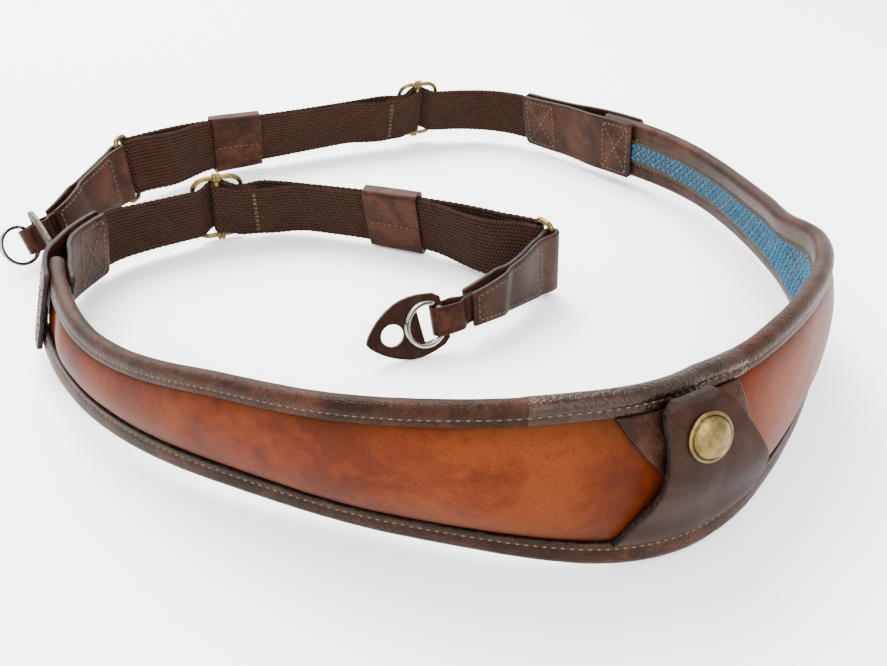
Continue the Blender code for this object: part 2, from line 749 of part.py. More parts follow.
def build_slide(side, route, slide):
    """Wire frame of a slide and its centre bar, whose sleeves hold the frame's rails."""
    radius = SLIDE_WIRE / 2
    under = SLIDE_SLEEVE_WALL + 1.5 * FIT_GAP
    inner = WEB_WIDTH + under + SLIDE_SPARE
    middle = web_foot() - under + inner / 2
    rail = inner / 2 + radius
    frame = route.matrix(slide, 0.0, middle)
    corners = rounded_box(SLIDE_LENGTH / 2 - radius, rail, SLIDE_CORNER)
    rim = wire_ring("slide_frame_" + side, corners, SLIDE_WIRE, BRASS)
    rim.matrix_world = frame

    bore = radius + FIT_GAP / 2
    shell = bore + SLIDE_SLEEVE_WALL
    half = SLIDE_SLEEVE_LENGTH / 2
    sleeves = []
    for end in (1.0, -1.0):
        wall = [(shell, half), (shell, -half), (bore, -half), (bore, half)]
        sleeve = turned("sleeve_%s_%d" % (side, end), wall, BRASS, 20)
        sleeve.matrix_world = Matrix.Translation((0.0, 0.0, end * rail)) @ Matrix.Rotation(math.pi / 2, 4, "Y")
        sleeves.append(sleeve)
    reach = rail - bore - SLIDE_SLEEVE_WALL / 2
    bpy.ops.mesh.primitive_cylinder_add(vertices=12, radius=radius * 0.98, depth=2 * reach)
    bar = bpy.context.object
    bar.name = "slide_bar_" + side
    for sleeve in sleeves:
        combine(bar, sleeve, "UNION")
    bar = applied(bar)
    finish(bar, BRASS)
    bar.matrix_world = frame


def build_loop(side, route, loop, heading):
    """Upright wire loop between the webbing and the leather end tab."""
    radius = LOOP_WIRE / 2
    rail = WEB_WIDTH / 2 + LOOP_SPARE + radius
    foot, along, out, up = route.axes(loop)
    centre = foot + up * (web_foot() + WEB_WIDTH / 2)
    reach = Vector((math.cos(math.radians(heading)), math.sin(math.radians(heading)), 0.0))
    reach = (reach - up * reach.dot(up)).normalized()
    frame = Matrix((reach, up.cross(reach), up)).transposed().to_4x4()
    frame.translation = centre + reach * (LOOP_SPACING / 2)
    corners = rounded_box(LOOP_SPACING / 2, rail, LOOP_CORNER)
    rim = wire_ring("strap_loop_" + side, corners, LOOP_WIRE, BRASS)
    rim.matrix_world = frame
    return foot + reach * LOOP_SPACING, up


def end_middle():
    """Height of the end pieces' middle line above the route's foot line."""
    return web_foot() + WEB_WIDTH / 2


def build_end_tab(side, route):
    """Leather strip folded round the strap loop, tapering towards the ring."""
    fold = LOOP_WIRE / 2 + FIT_GAP + END_TAB_LEATHER / 2
    pinched = END_TAB_LEATHER / 2 + FIT_GAP / 2
    apart = pinched + RING_STRIP_LEATHER + FIT_GAP
    inserted = END_TAB_LENGTH - RING_STRIP_TUCK
    level = ((0.0, fold), (0.008, pinched), (inserted - 0.006, pinched), (inserted - 0.001, apart))
    places = spaced(0.0, END_TAB_LENGTH, END_TAB_STEP)
    path = [(s, blend(level, s)) for s in reversed(places)]
    path += arc(0.0, fold, 90, 270, 8)[1:-1]
    path += [(s, -blend(level, s)) for s in places]
    widths = ((0.002, END_TAB_WIDE), (0.010, END_TAB_WIDE * 0.96), (END_TAB_LENGTH, END_TAB_NARROW))

    def heights(s):
        half = float(np.interp(s, [w[0] for w in widths], [w[1] for w in widths])) / 2
        return end_middle() - half, end_middle() + half

    ribbon("end_tab_" + side, route, path, heights, END_TAB_LEATHER, LEATHER_BROWN)


def strip_fold():
    """Place of the ring strip's fold centre along the end route."""
    return END_TAB_LENGTH + RING_STRIP_REACH


def build_ring_strip(side, route):
    """Narrow leather strip folded round the ring and the guard's bar."""
    tucked = RING_STRIP_LEATHER / 2 + FIT_GAP / 2
    fold = RING_STRIP_HALF_GAP + RING_STRIP_LEATHER / 2
    centre = strip_fold()
    level = ((END_TAB_LENGTH + 0.0010, tucked), (END_TAB_LENGTH + 0.0048, fold))
    places = spaced(END_TAB_LENGTH - RING_STRIP_TUCK + END_TAB_STEP / 2, centre, RING_STRIP_STEP)
    path = [(s, blend(level, s)) for s in places]
    path += arc(centre, fold, 90, -90, 10)[1:-1]
    path += [(s, -blend(level, s)) for s in reversed(places)]
    half = RING_STRIP_WIDTH / 2
    limits = (end_middle() - half, end_middle() + half)
    ribbon("ring_strip_" + side, route, path, lambda s: limits, RING_STRIP_LEATHER, LEATHER_BROWN)


def guard_outline():
    """Half outline of a guard from its end to its tip, as (x, half width)."""
    rows = ((0.0, 0.86), (GUARD_END_SHARE, 1.0))
    points = [(GUARD_LENGTH * x, GUARD_END_WIDTH / 2 * w) for x, w in rows]
    for i in range(1, 12):
        share = GUARD_END_SHARE + (1.0 - GUARD_END_SHARE) * i / 11
        past = max(0.0, (share - GUARD_WIDEST_SHARE) / (1.0 - GUARD_WIDEST_SHARE))
        round_part = math.cos(math.pi / 2 * past) ** GUARD_TIP_ROUNDNESS
        growth = math.sin(math.pi / 2 * min(1.0, share / GUARD_WIDEST_SHARE))
        widening = GUARD_END_WIDTH + (GUARD_WIDTH - GUARD_END_WIDTH) * growth
        points.append((GUARD_LENGTH * share, widening / 2 * round_part))
    return points


def build_guard(side, route):
    """Leaf-shaped leather guard with a slot for the ring strip and a round hole."""
    name = "guard_" + side
    half = guard_outline()
    outline = half[:-1] + [(GUARD_LENGTH, 0.0)] + [(x, -z) for x, z in reversed(half[:-1])]
    curve = bpy.data.curves.new(name, "CURVE")
    curve.dimensions = "2D"
    curve.fill_mode = "BOTH"
    curve.extrude = GUARD_LEATHER / 2
    rounds = [(GUARD_HOLE_DIAMETER / 2 * math.cos(a), GUARD_HOLE_DIAMETER / 2 * math.sin(a))
              for a in (2 * math.pi * i / 20 for i in range(20))]
    hole = [(GUARD_HOLE_AT + x, z) for x, z in rounds]
    slot_middle = GUARD_BAR + GUARD_SLOT_LENGTH / 2
    slot = [(slot_middle + x, z) for x, z in
            rounded_box(GUARD_SLOT_LENGTH / 2, GUARD_SLOT_HEIGHT / 2, 0.0008, 2)]
    for ring in (outline, hole, slot):
        line = curve.splines.new("POLY")
        line.points.add(len(ring) - 1)
        for point, (x, z) in zip(line.points, ring):
            point.co = (x - GUARD_BAR / 2, z, 0.0, 1.0)
        line.use_cyclic_u = True
    flat = bpy.data.objects.new(name, curve)
    bpy.context.scene.collection.objects.link(flat)
    leaf = applied(flat)
    finish(leaf, LEATHER_BROWN, smooth=False)

    seat, level, angle, dip = GUARD_PLACES[side]
    at = route.matrix(strip_fold() + seat, level, end_middle())
    turn = Matrix.Rotation(math.radians(angle), 4, "Z") @ Matrix.Rotation(math.radians(dip), 4, "Y")
    leaf.matrix_world = at @ turn @ Matrix.Rotation(math.pi / 2, 4, "X")


def build_ring(side, route):
    """Split ring through the strip's fold, with the seam between its two turns as a groove."""
    outer = RING_DIAMETER / 2
    inner = outer - RING_WIRE_WIDE
    deep = RING_WIRE_DEEP / 2
    notch = RING_SEAM
    profile = [
        (outer - notch, deep), (outer, deep - notch), (outer - notch, 0.0), (outer, notch - deep),
        (outer - notch, -deep), (inner + notch, -deep), (inner, 0.0), (inner + notch, deep),
    ]
    ring = turned("split_ring_" + side, profile, NICKEL, 28)
    centre = strip_fold() + RING_SEAT + (outer + inner) / 2
    at = route.matrix(strip_fold(), RING_LEVELS[side], end_middle())
    shift = Matrix.Translation((centre - strip_fold(), 0.0, 0.0))
    ring.matrix_world = at @ shift @ Matrix.Rotation(math.pi / 2, 4, "X")


def build_side(side, route, pad_half, stretches, loop_heading, end_rows, outward):
    """Everything from one pad end to its split ring."""
    marks = {}
    total = 0.0
    for name, length in stretches:
        total += length
        marks[name] = total
    build_tabs(side, route, pad_half)
    build_webbing(side, route, marks)
    build_keeper(side, route, marks["keeper"])
    build_slide(side, route, marks["slide"])
    start, up = build_loop(side, route, marks["loop"], loop_heading)
    end_stretches = (("end_tab", END_TAB_LENGTH), ("strip", RING_STRIP_REACH))
    end_route = Route(end_rows, end_stretches, start, outward, first_up=up)
    build_end_tab(side, end_route)
    build_ring_strip(side, end_route)
    build_guard(side, end_route)
    build_ring(side, end_route)


def stand_on_origin():
    """Moves the whole strap so that the middle of its box's underside is the world origin."""
    root = bpy.data.objects.new("strap_origin", None)
    bpy.context.scene.collection.objects.link(root)
    bpy.context.view_layer.update()
    graph = bpy.context.evaluated_depsgraph_get()
    low = np.full(3, np.inf)
    high = np.full(3, -np.inf)
    pieces = list(bpy.data.collections[COLLECTION].objects)
    for obj in pieces:
        shown = obj.evaluated_get(graph)
        mesh = shown.to_mesh()
        spots = np.array([tuple(shown.matrix_world @ vertex.co) for vertex in mesh.vertices])
        shown.to_mesh_clear()
        low = np.minimum(low, spots.min(axis=0))
        high = np.maximum(high, spots.max(axis=0))
        obj.parent = root
    root.location = (-(low[0] + high[0]) / 2, -(low[1] + high[1]) / 2, -low[2])
    bpy.context.view_layer.update()


def main():
    """Builds the strap."""
    for obj in list(bpy.data.objects):
        bpy.data.objects.remove(obj, do_unlink=True)
    for name in (COLLECTION, "cutters"):
        bpy.context.scene.collection.children.link(bpy.data.collections.new(name))
    stretches = {
        "right": (
            ("pad", PAD_HALF_RIGHT), ("tab", TAB_LENGTH), ("slide", TAB_TO_SLIDE_RIGHT),
            ("keeper", SLIDE_TO_KEEPER_RIGHT), ("loop", KEEPER_TO_LOOP_RIGHT),
        ),
        "left": (
            ("pad", PAD_HALF_LEFT), ("tab", TAB_LENGTH), ("slide", TAB_TO_SLIDE_LEFT),
            ("keeper", SLIDE_TO_KEEPER_LEFT), ("loop", KEEPER_TO_LOOP_LEFT),
        ),
    }
    routes = {
        "right": Route(ROUTE_RIGHT, stretches["right"], PAD_MIDDLE, -1.0),
        "left": Route(ROUTE_LEFT, stretches["left"], PAD_MIDDLE, 1.0),
    }
    place = pad_strap(routes)
    build_pad(place)
    build_centre(place)
    build_snap(place)
    ends = {
        "right": (PAD_HALF_RIGHT, LOOP_HEADING_RIGHT, END_RIGHT, -1.0),
        "left": (PAD_HALF_LEFT, LOOP_HEADING_LEFT, END_LEFT, 1.0),
    }
    for side, (pad_half, loop_heading, end_rows, outward) in ends.items():
        build_side(side, routes[side], pad_half, stretches[side], loop_heading, end_rows, outward)
    stand_on_origin()


main()
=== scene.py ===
"""Looks of the camera neck strap: leather, stitching, webbing, embroidery and metal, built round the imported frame.

Soft pieces are drawn in strap coordinates and laid along the strap's route:
    s  distance along the strap from the middle of the pad,
    n  distance outward from the strap's middle layer,
    v  height above the strap's lower edge line.
Lengths are in metres and angles in degrees. World +X is right, +Y is away from the viewer, +Z is up.
"""

from __future__ import annotations

import logging
import math
from dataclasses import dataclass, field
from enum import Enum
from typing import Callable, Sequence

import bmesh
import bpy
import numpy as np
from mathutils import Matrix, Vector


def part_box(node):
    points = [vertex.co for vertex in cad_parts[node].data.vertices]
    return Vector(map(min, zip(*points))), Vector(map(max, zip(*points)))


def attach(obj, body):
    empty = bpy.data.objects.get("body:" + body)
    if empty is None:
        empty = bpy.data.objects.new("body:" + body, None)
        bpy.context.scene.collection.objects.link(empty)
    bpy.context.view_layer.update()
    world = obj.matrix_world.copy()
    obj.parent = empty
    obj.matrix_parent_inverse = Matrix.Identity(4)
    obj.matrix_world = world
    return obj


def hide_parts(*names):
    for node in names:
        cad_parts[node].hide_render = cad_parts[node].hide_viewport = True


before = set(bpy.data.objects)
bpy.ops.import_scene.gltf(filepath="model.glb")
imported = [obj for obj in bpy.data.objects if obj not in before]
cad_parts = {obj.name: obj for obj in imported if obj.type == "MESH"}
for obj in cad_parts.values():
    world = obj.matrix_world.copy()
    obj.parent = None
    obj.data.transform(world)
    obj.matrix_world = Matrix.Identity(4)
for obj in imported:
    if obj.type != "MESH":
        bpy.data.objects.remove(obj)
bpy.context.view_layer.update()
log = logging.getLogger("neck_strap")

Colour = tuple[float, float, float]
Rows = Sequence[tuple[str, float, float, float, float]]


class Side(Enum):
    """The two halves of the strap; the value is the outward sign of its route."""

    RIGHT = -1.0
    LEFT = 1.0

    @property
    def label(self) -> str:
        """Name that ends the side's piece names."""
        return self.name.lower()


@dataclass(frozen=True)
class Sizes:
    """Driving sizes of the strap, the same as the solids' own."""

    pad_half: dict[Side, float] = field(default_factory=lambda: {Side.RIGHT: 0.258, Side.LEFT: 0.216})
    pad_wide: float = 0.0515
    pad_narrow: float = 0.0270
    pad_crown: float = 0.0030
    pad_plump: float = 0.55
    pad_tuck: float = 0.018
    pad_fade: float = 0.024
    pad_flat_end: float = 0.003
    roll: float = 0.0054
    binding: float = 0.0012
    top_flange: float = 0.0052
    bottom_flange: float = 0.0080
    inner_flange: float = 0.0088
    lining: float = 0.0008
    fit: float = 0.0003
    panel_gap: float = 0.00042
    band: float = 0.0016
    band_gap: float = 0.0005
    band_height: float = 0.0222
    flap: float = 0.0017
    flap_standoff: float = 0.0016
    flap_height: float = 0.0412
    snap: float = 0.0122
    snap_dome: float = 0.0026
    snap_along: float = -0.0058
    snap_up: float = 0.0392
    snap_post: float = 0.0050
    tab_length: float = 0.068
    tab_wide: float = 0.0268
    tab_narrow: float = 0.0268
    tab_leather: float = 0.0016
    web: float = 0.025
    web_thick: float = 0.0012
    web_tuck: float = 0.024
    web_tail: float = 0.019
    web_bow: float = 0.0052
    to_slide: dict[Side, float] = field(default_factory=lambda: {Side.RIGHT: 0.067, Side.LEFT: 0.052})
    to_keeper: dict[Side, float] = field(default_factory=lambda: {Side.RIGHT: 0.096, Side.LEFT: 0.080})
    to_loop: dict[Side, float] = field(default_factory=lambda: {Side.RIGHT: 0.054, Side.LEFT: 0.063})
    keeper_length: float = 0.024
    keeper_leather: float = 0.0014
    slide_wire: float = 0.0020
    slide_length: float = 0.0215
    slide_spare: float = 0.0024
    slide_corner: float = 0.0055
    sleeve_length: float = 0.0032
    sleeve_wall: float = 0.0009
    loop_wire: float = 0.0022
    loop_spacing: float = 0.0078
    loop_corner: float = 0.0024
    loop_spare: float = 0.0008
    end_length: float = 0.046
    end_wide: float = 0.0245
    end_narrow: float = 0.0125
    end_leather: float = 0.0015
    strip_width: float = 0.0102
    strip_leather: float = 0.0011
    strip_reach: float = 0.0106
    strip_tuck: float = 0.013
    strip_gap: float = 0.0024
    guard_length: float = 0.0285
    guard_width: float = 0.0220
    guard_end: float = 0.0175
    guard_leather: float = 0.0016
    guard_bar: float = 0.0022
    guard_slot: float = 0.0068
    guard_slot_height: float = 0.0132
    guard_hole: float = 0.0078
    guard_hole_at: float = 0.0192
    ring: float = 0.0160
    ring_wide: float = 0.0013
    ring_deep: float = 0.0016
    ring_seat: float = -0.0013


SIZE = Sizes()
PAD_MIDDLE = (0.0625, 0.1535)
LOOP_HEADING = {Side.RIGHT: 258.0, Side.LEFT: -55.0}
RING_LEVEL = {Side.RIGHT: -0.0005, Side.LEFT: 0.0008}

# Columns: stretch, share of that stretch, heading, lean (outward is positive), lift of the lower edge.
STRAP_ROUTE: dict[Side, Rows] = {
    Side.RIGHT: (
        ("pad", 0.0, 30.0, -9.0, 0.0),
        ("pad", 0.1, 50.0, -6.0, 0.001),
        ("pad", 0.2, 56.0, -4.0, 0.0015),
        ("pad", 0.4, 67.0, -8.0, 0.0025),
        ("pad", 0.5, 84.0, -20.0, 0.0035),
        ("pad", 0.6, 97.0, -22.0, 0.005),
        ("pad", 0.8, 109.0, -17.0, 0.007),
        ("pad", 1.0, 131.0, -6.0, 0.006),
        ("tab", 1.0, 133.0, -14.0, 0.005),
        ("slide", 0.75, 190.0, -20.0, 0.006),
        ("slide", 1.0, 199.0, -20.0, 0.0065),
        ("keeper", 0.12, 202.0, -20.0, 0.006),
        ("keeper", 1.0, 209.0, -12.0, 0.0035),
        ("loop", 0.8, 236.0, 2.0, 0.0038),
        ("loop", 1.0, 238.0, 4.0, 0.0040),
    ),
    Side.LEFT: (
        ("pad", 0.0, 210.0, -9.0, 0.0),
        ("pad", 0.15, 176.0, -1.0, 0.002),
        ("pad", 0.25, 167.0, 5.0, 0.003),
        ("pad", 0.4, 162.5, 7.0, 0.003),
        ("pad", 0.6, 158.0, 1.0, 0.005),
        ("pad", 0.8, 141.0, -8.0, 0.006),
        ("pad", 1.0, 119.0, -18.0, 0.009),
        ("tab", 1.0, 72.0, -12.0, 0.003),
        ("slide", 0.25, 46.0, -16.0, 0.003),
        ("slide", 0.75, 32.0, -18.0, 0.0033),
        ("slide", 1.0, 24.0, -18.0, 0.0034),
        ("keeper", 0.12, 20.0, -18.0, 0.0032),
        ("keeper", 0.45, -13.0, -17.0, 0.002),
        ("keeper", 1.0, -23.0, -14.0, 0.002),
        ("loop", 0.8, -36.0, -6.0, 0.0022),
        ("loop", 1.0, -38.0, -5.0, 0.0022),
    ),
}
END_ROUTE: dict[Side, Rows] = {
    Side.RIGHT: (
        ("end_tab", 0.0, 255.0, 4.0, 0.0040),
        ("end_tab", 0.6, 254.0, 7.0, 0.0020),
        ("end_tab", 1.0, 250.0, 11.0, -0.0006),
        ("strip", 0.15, 249.0, 13.0, -0.0009),
        ("strip", 0.6, 243.0, 20.0, -0.0019),
        ("strip", 1.0, 240.0, 24.0, -0.0024),
    ),
    Side.LEFT: (
        ("end_tab", 0.0, -131.0, 8.0, 0.0022),
        ("end_tab", 0.6, -132.0, 2.0, 0.0016),
        ("end_tab", 1.0, -136.0, -6.0, 0.0006),
        ("strip", 0.15, -137.0, -8.0, 0.0003),
        ("strip", 0.6, -142.0, -13.0, -0.0003),
        ("strip", 1.0, -147.0, -16.0, -0.0004),
    ),
}

# Columns: share of the half, share of the widening.
PAD_TAPER = ((0.0, 1.0), (0.15, 0.97), (0.35, 0.80), (0.55, 0.48), (0.75, 0.14), (0.9, 0.02), (1.0, 0.0))
# Columns: share of the piece's height, left side, right side.
BAND_SIDES = (
    (0.0, -0.0262, 0.0100),
    (0.35, -0.0208, 0.0112),
    (0.68, -0.0150, 0.0112),
    (1.0, -0.0100, 0.0095),
)
FLAP_SIDES = (
    (0.0, -0.0235, 0.0184),
    (0.18, -0.0206, 0.0190),
    (0.33, -0.0180, 0.0166),
    (0.55, -0.0156, 0.0116),
    (0.75, -0.0154, 0.0070),
    (0.93, -0.0156, 0.0022),
    (1.0, -0.0140, -0.0018),
)
# Values: place of the guard's bar from the fold's centre, its level, turn about up, dip of the tip.
GUARD_PLACE = {
    Side.LEFT: (-0.0012, -(SIZE.guard_leather / 2 + SIZE.fit + 0.0002), -14.0, 6.0),
    Side.RIGHT: (-0.0036, 0.0, 63.0, 0.0),
}


def ease(table: Sequence[tuple[float, float]], at: np.ndarray) -> np.ndarray:
    """Smooth values from a table, level at every row.

    Args:
        table: rows of place and value.
        at: places to read.

    Returns:
        The values at those places.
    """
    at = np.asarray(at, float)
    out = np.full(at.shape, table[0][1], float)
    for (low, start), (high, end) in zip(table, table[1:]):
        share = np.clip((at - low) / (high - low), 0.0, 1.0)
        value = start + (end - start) * (0.5 - 0.5 * np.cos(math.pi * share))
        out = np.where(at > low, value, out)
    return out


def through(table: Sequence[tuple[float, float]], at: np.ndarray) -> np.ndarray:
    """Smooth values from a table, keeping the slope through its rows.

    Args:
        table: rows of place and value.
        at: places to read.

    Returns:
        The values at those places.
    """
    xs = np.array([row[0] for row in table], float)
    ys = np.array([row[1] for row in table], float)
    slopes = np.gradient(ys, xs)
    at = np.asarray(at, float)
    i = np.clip(np.searchsorted(xs, at) - 1, 0, len(xs) - 2)
    span = xs[i + 1] - xs[i]
    t = np.clip((at - xs[i]) / span, 0.0, 1.0)
    rise = (2 * t**3 - 3 * t**2 + 1) * ys[i] + (3 * t**2 - 2 * t**3) * ys[i + 1]
    return rise + span * ((t**3 - 2 * t**2 + t) * slopes[i] + (t**3 - t**2) * slopes[i + 1])


def steps(start: float, end: float, step: float) -> np.ndarray:
    """Even places from start to end, no further apart than step."""
    return np.linspace(start, end, max(1, math.ceil(abs(end - start) / step - 1e-9)) + 1)


def unit(v: np.ndarray) -> np.ndarray:
    """The same directions with length one."""
    return v / np.linalg.norm(v, axis=-1, keepdims=True)


def hump(off: float | np.ndarray, reach: float) -> float | np.ndarray:
    """One at no distance, fading to nothing a few reaches away."""
    return np.exp(-((off / reach) ** 2))


class Route:
    """A line on the ground with a heading, a lean and a lift at each distance along it."""

    fine = 0.0005
    first_fade = ((0.006, 1.0), (0.030, 0.0))

    def __init__(self, rows: Rows, stretches: Sequence[tuple[str, float]], start: Sequence[float], side: Side,
                 first_up: np.ndarray | None = None) -> None:
        """Lays the line out.

        Args:
            rows: the route's table.
            stretches: names and lengths of its stretches, in order.
            start: its first point.
            side: the half of the strap that it belongs to.
            first_up: the direction across the strap at its start, where a wire loop sets it.
        """
        ends, total = {}, 0.0
        for name, length in stretches:
            ends[name] = (total, length)
            total += length
        places = [ends[row[0]][0] + row[1] * ends[row[0]][1] for row in rows]
        self.length = total
        self.side = side
        self.first_up = first_up
        self.shift = np.zeros(3)
        self.s = np.arange(0.0, total + 2 * self.fine, self.fine)
        self.heading = np.radians(np.interp(self.s, places, [row[2] for row in rows]))
        self.lean = np.radians(through([(p, row[3]) for p, row in zip(places, rows)], self.s))
        self.lift = through([(p, row[4]) for p, row in zip(places, rows)], self.s)
        middle = (self.heading[1:] + self.heading[:-1]) / 2
        self.x = start[0] + np.concatenate([[0.0], np.cumsum(np.cos(middle)) * self.fine])
        self.y = start[1] + np.concatenate([[0.0], np.cumsum(np.sin(middle)) * self.fine])

    def axes(self, s: np.ndarray) -> tuple[np.ndarray, np.ndarray, np.ndarray, np.ndarray]:
        """Foot points and the directions along, outward and up at distances s."""
        s = np.atleast_1d(np.asarray(s, float))
        inside = np.clip(s, 0.0, self.length)
        heading, lean, lift = (np.interp(inside, self.s, a) for a in (self.heading, self.lean, self.lift))
        along = np.stack([np.cos(heading), np.sin(heading), np.zeros_like(heading)], -1)
        foot = np.stack([np.interp(inside, self.s, self.x), np.interp(inside, self.s, self.y), lift], -1)
        foot = foot + along * (s - inside)[:, None] + self.shift
        out = np.stack([-along[:, 1], along[:, 0], np.zeros_like(heading)], -1) * self.side.value
        up = np.array([0.0, 0.0, 1.0]) * np.cos(lean)[:, None] + out * np.sin(lean)[:, None]
        if self.first_up is not None:
            fade = ease(self.first_fade, s)[:, None]
            up = unit(up * (1.0 - fade) + self.first_up * fade)
        out = unit(out - up * np.sum(out * up, -1, keepdims=True))
        return foot, along, out, up

    def place(self, s: np.ndarray, n: np.ndarray, v: np.ndarray) -> np.ndarray:
        """World points of the strap coordinates s, n and v, of any equal shape."""
        s, n, v = np.broadcast_arrays(np.asarray(s, float), np.asarray(n, float), np.asarray(v, float))
        foot, _, out, up = self.axes(s.ravel())
        return (foot + out * n.ravel()[:, None] + up * v.ravel()[:, None]).reshape(s.shape + (3,))

    def matrix(self, s: float, n: float, v: float) -> Matrix:
        """Frame with X along the strap, Z up across it and Y square to both, at s, n and v."""
        foot, along, out, up = (Vector(a[0]) for a in self.axes(s))
        across = up.cross(along).normalized()
        straight = across.cross(up).normalized()
        made = Matrix((straight, across, up)).transposed().to_4x4()
        made.translation = foot + out * n + up * v
        return made


class Layout:
    """Routes of the whole strap in the world."""

    def __init__(self) -> None:
        """Lays out both halves and both ends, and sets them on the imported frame."""
        self.routes: dict[Side, Route] = {}
        self.marks: dict[Side, dict[str, float]] = {}
        for side in Side:
            stretches = (
                ("pad", SIZE.pad_half[side]), ("tab", SIZE.tab_length), ("slide", SIZE.to_slide[side]),
                ("keeper", SIZE.to_keeper[side]), ("loop", SIZE.to_loop[side]),
            )
            self.routes[side] = Route(STRAP_ROUTE[side], stretches, PAD_MIDDLE, side)
            total, marks = 0.0, {}
            for name, length in stretches:
                total += length
                marks[name] = total
            self.marks[side] = marks
        low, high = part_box("slide_frame_right")
        drawn = self.slide_matrix(Side.RIGHT).translation
        shift = np.array((low + high) / 2 - drawn)
        for route in self.routes.values():
            route.shift = shift
        self.shift = shift
        self.ends: dict[Side, Route] = {}
        self.loops: dict[Side, Matrix] = {}
        for side in Side:
            self.add_end(side)

    def slide_matrix(self, side: Side) -> Matrix:
        """Frame of a slide at the middle of its centre bar."""
        under = SIZE.sleeve_wall + 1.5 * SIZE.fit
        inner = SIZE.web + under + SIZE.slide_spare
        return self.routes[side].matrix(self.marks[side]["slide"], 0.0, self.web_foot() - under + inner / 2)

    @staticmethod
    def web_foot() -> float:
        """Height of the webbing's lower edge above the route's foot line."""
        return (SIZE.tab_narrow - SIZE.web) / 2

    @staticmethod
    def end_middle() -> float:
        """Height of the end pieces' middle line above the route's foot line."""
        return Layout.web_foot() + SIZE.web / 2

    def add_end(self, side: Side) -> None:
        """Places a side's strap loop and the route of its end pieces."""
        foot, _, _, up = (Vector(a[0]) for a in self.routes[side].axes(self.marks[side]["loop"]))
        heading = math.radians(LOOP_HEADING[side])
        reach = Vector((math.cos(heading), math.sin(heading), 0.0))
        reach = (reach - up * reach.dot(up)).normalized()
        rim = Matrix((reach, up.cross(reach), up)).transposed().to_4x4()
        rim.translation = foot + up * self.end_middle() + reach * (SIZE.loop_spacing / 2)
        self.loops[side] = rim
        start = foot + reach * SIZE.loop_spacing - Vector(self.shift)
        stretches = (("end_tab", SIZE.end_length), ("strip", SIZE.strip_reach))
        end = Route(END_ROUTE[side], stretches, start, side, first_up=np.array(up))
        end.shift = self.shift
        self.ends[side] = end

    def pad_place(self, s: np.ndarray, n: np.ndarray, v: np.ndarray) -> np.ndarray:
        """World points on the pad, whose s is positive on the right half and negative on the left half."""
        s, n, v = np.broadcast_arrays(np.asarray(s, float), np.asarray(n, float), np.asarray(v, float))
        right = self.routes[Side.RIGHT].place(np.abs(s), n, v)
        left = self.routes[Side.LEFT].place(np.abs(s), n, v)
        return np.where((s >= 0.0)[..., None], right, left)


def pad_half_at(s: np.ndarray) -> np.ndarray:
    """Length of the pad's half that a place lies on."""
    return np.where(np.asarray(s) >= 0.0, SIZE.pad_half[Side.RIGHT], SIZE.pad_half[Side.LEFT])


def pad_width(s: np.ndarray) -> np.ndarray:
    """Width of the pad at s."""
    share = np.minimum(np.abs(s) / pad_half_at(s), 1.0)
    return SIZE.pad_narrow + (SIZE.pad_wide - SIZE.pad_narrow) * through(PAD_TAPER, share)


def pad_crown(s: np.ndarray, v: np.ndarray) -> np.ndarray:
    """Outward reach of the padded panel's face from the strap's middle layer."""
    s, v = np.broadcast_arrays(np.asarray(s, float), np.asarray(v, float))
    flanges = SIZE.bottom_flange + SIZE.top_flange
    tall = pad_width(s) - flanges
    t = np.clip((v - SIZE.bottom_flange) / tall, 0.0, 1.0)
    base = SIZE.roll / 2 - SIZE.binding - SIZE.panel_gap
    fullness = (tall / (SIZE.pad_wide - flanges)) ** 0.5
    left = pad_half_at(s) - SIZE.pad_fade
    share = np.clip((np.abs(s) - left) / (SIZE.pad_fade - SIZE.pad_flat_end), 0.0, 1.0)
    fade = 0.5 + 0.5 * np.cos(math.pi * share)
    return base + (SIZE.binding + SIZE.pad_crown * fullness) * fade * np.sin(math.pi * t) ** SIZE.pad_plump


def ripple(s: np.ndarray, v: np.ndarray, seed: int, longest: float, height: float) -> np.ndarray:
    """Soft unevenness of a hand-made surface.

    Args:
        s: distances along the strap.
        v: heights across it.
        seed: which unevenness.
        longest: its longest wave.
        height: its rough height.

    Returns:
        Offsets of the surface.
    """
    rng = np.random.default_rng(seed)
    total = np.zeros(np.broadcast(s, v).shape)
    for k in range(1, 5):
        wave = 2 * math.pi * k / longest
        a, b = rng.uniform(0, 2 * math.pi, 2)
        total = total + np.sin(s * wave + a) * np.sin(v * wave * 1.4 + b) / k
    return total * height / 1.5


class Finish:
    """Base of the finishes; each makes one material."""

    name: str

    def material(self) -> bpy.types.Material:
        """The finish's material, made once."""
        found = bpy.data.materials.get(self.name)
        if found:
            return found
        made = bpy.data.materials.new(self.name)
        made.use_nodes = True
        self.paint(NodePen(made.node_tree), made.node_tree.nodes["Principled BSDF"])
        return made

    def paint(self, pen: "NodePen", shader: bpy.types.Node) -> None:
        """Builds the material's nodes."""
        raise NotImplementedError


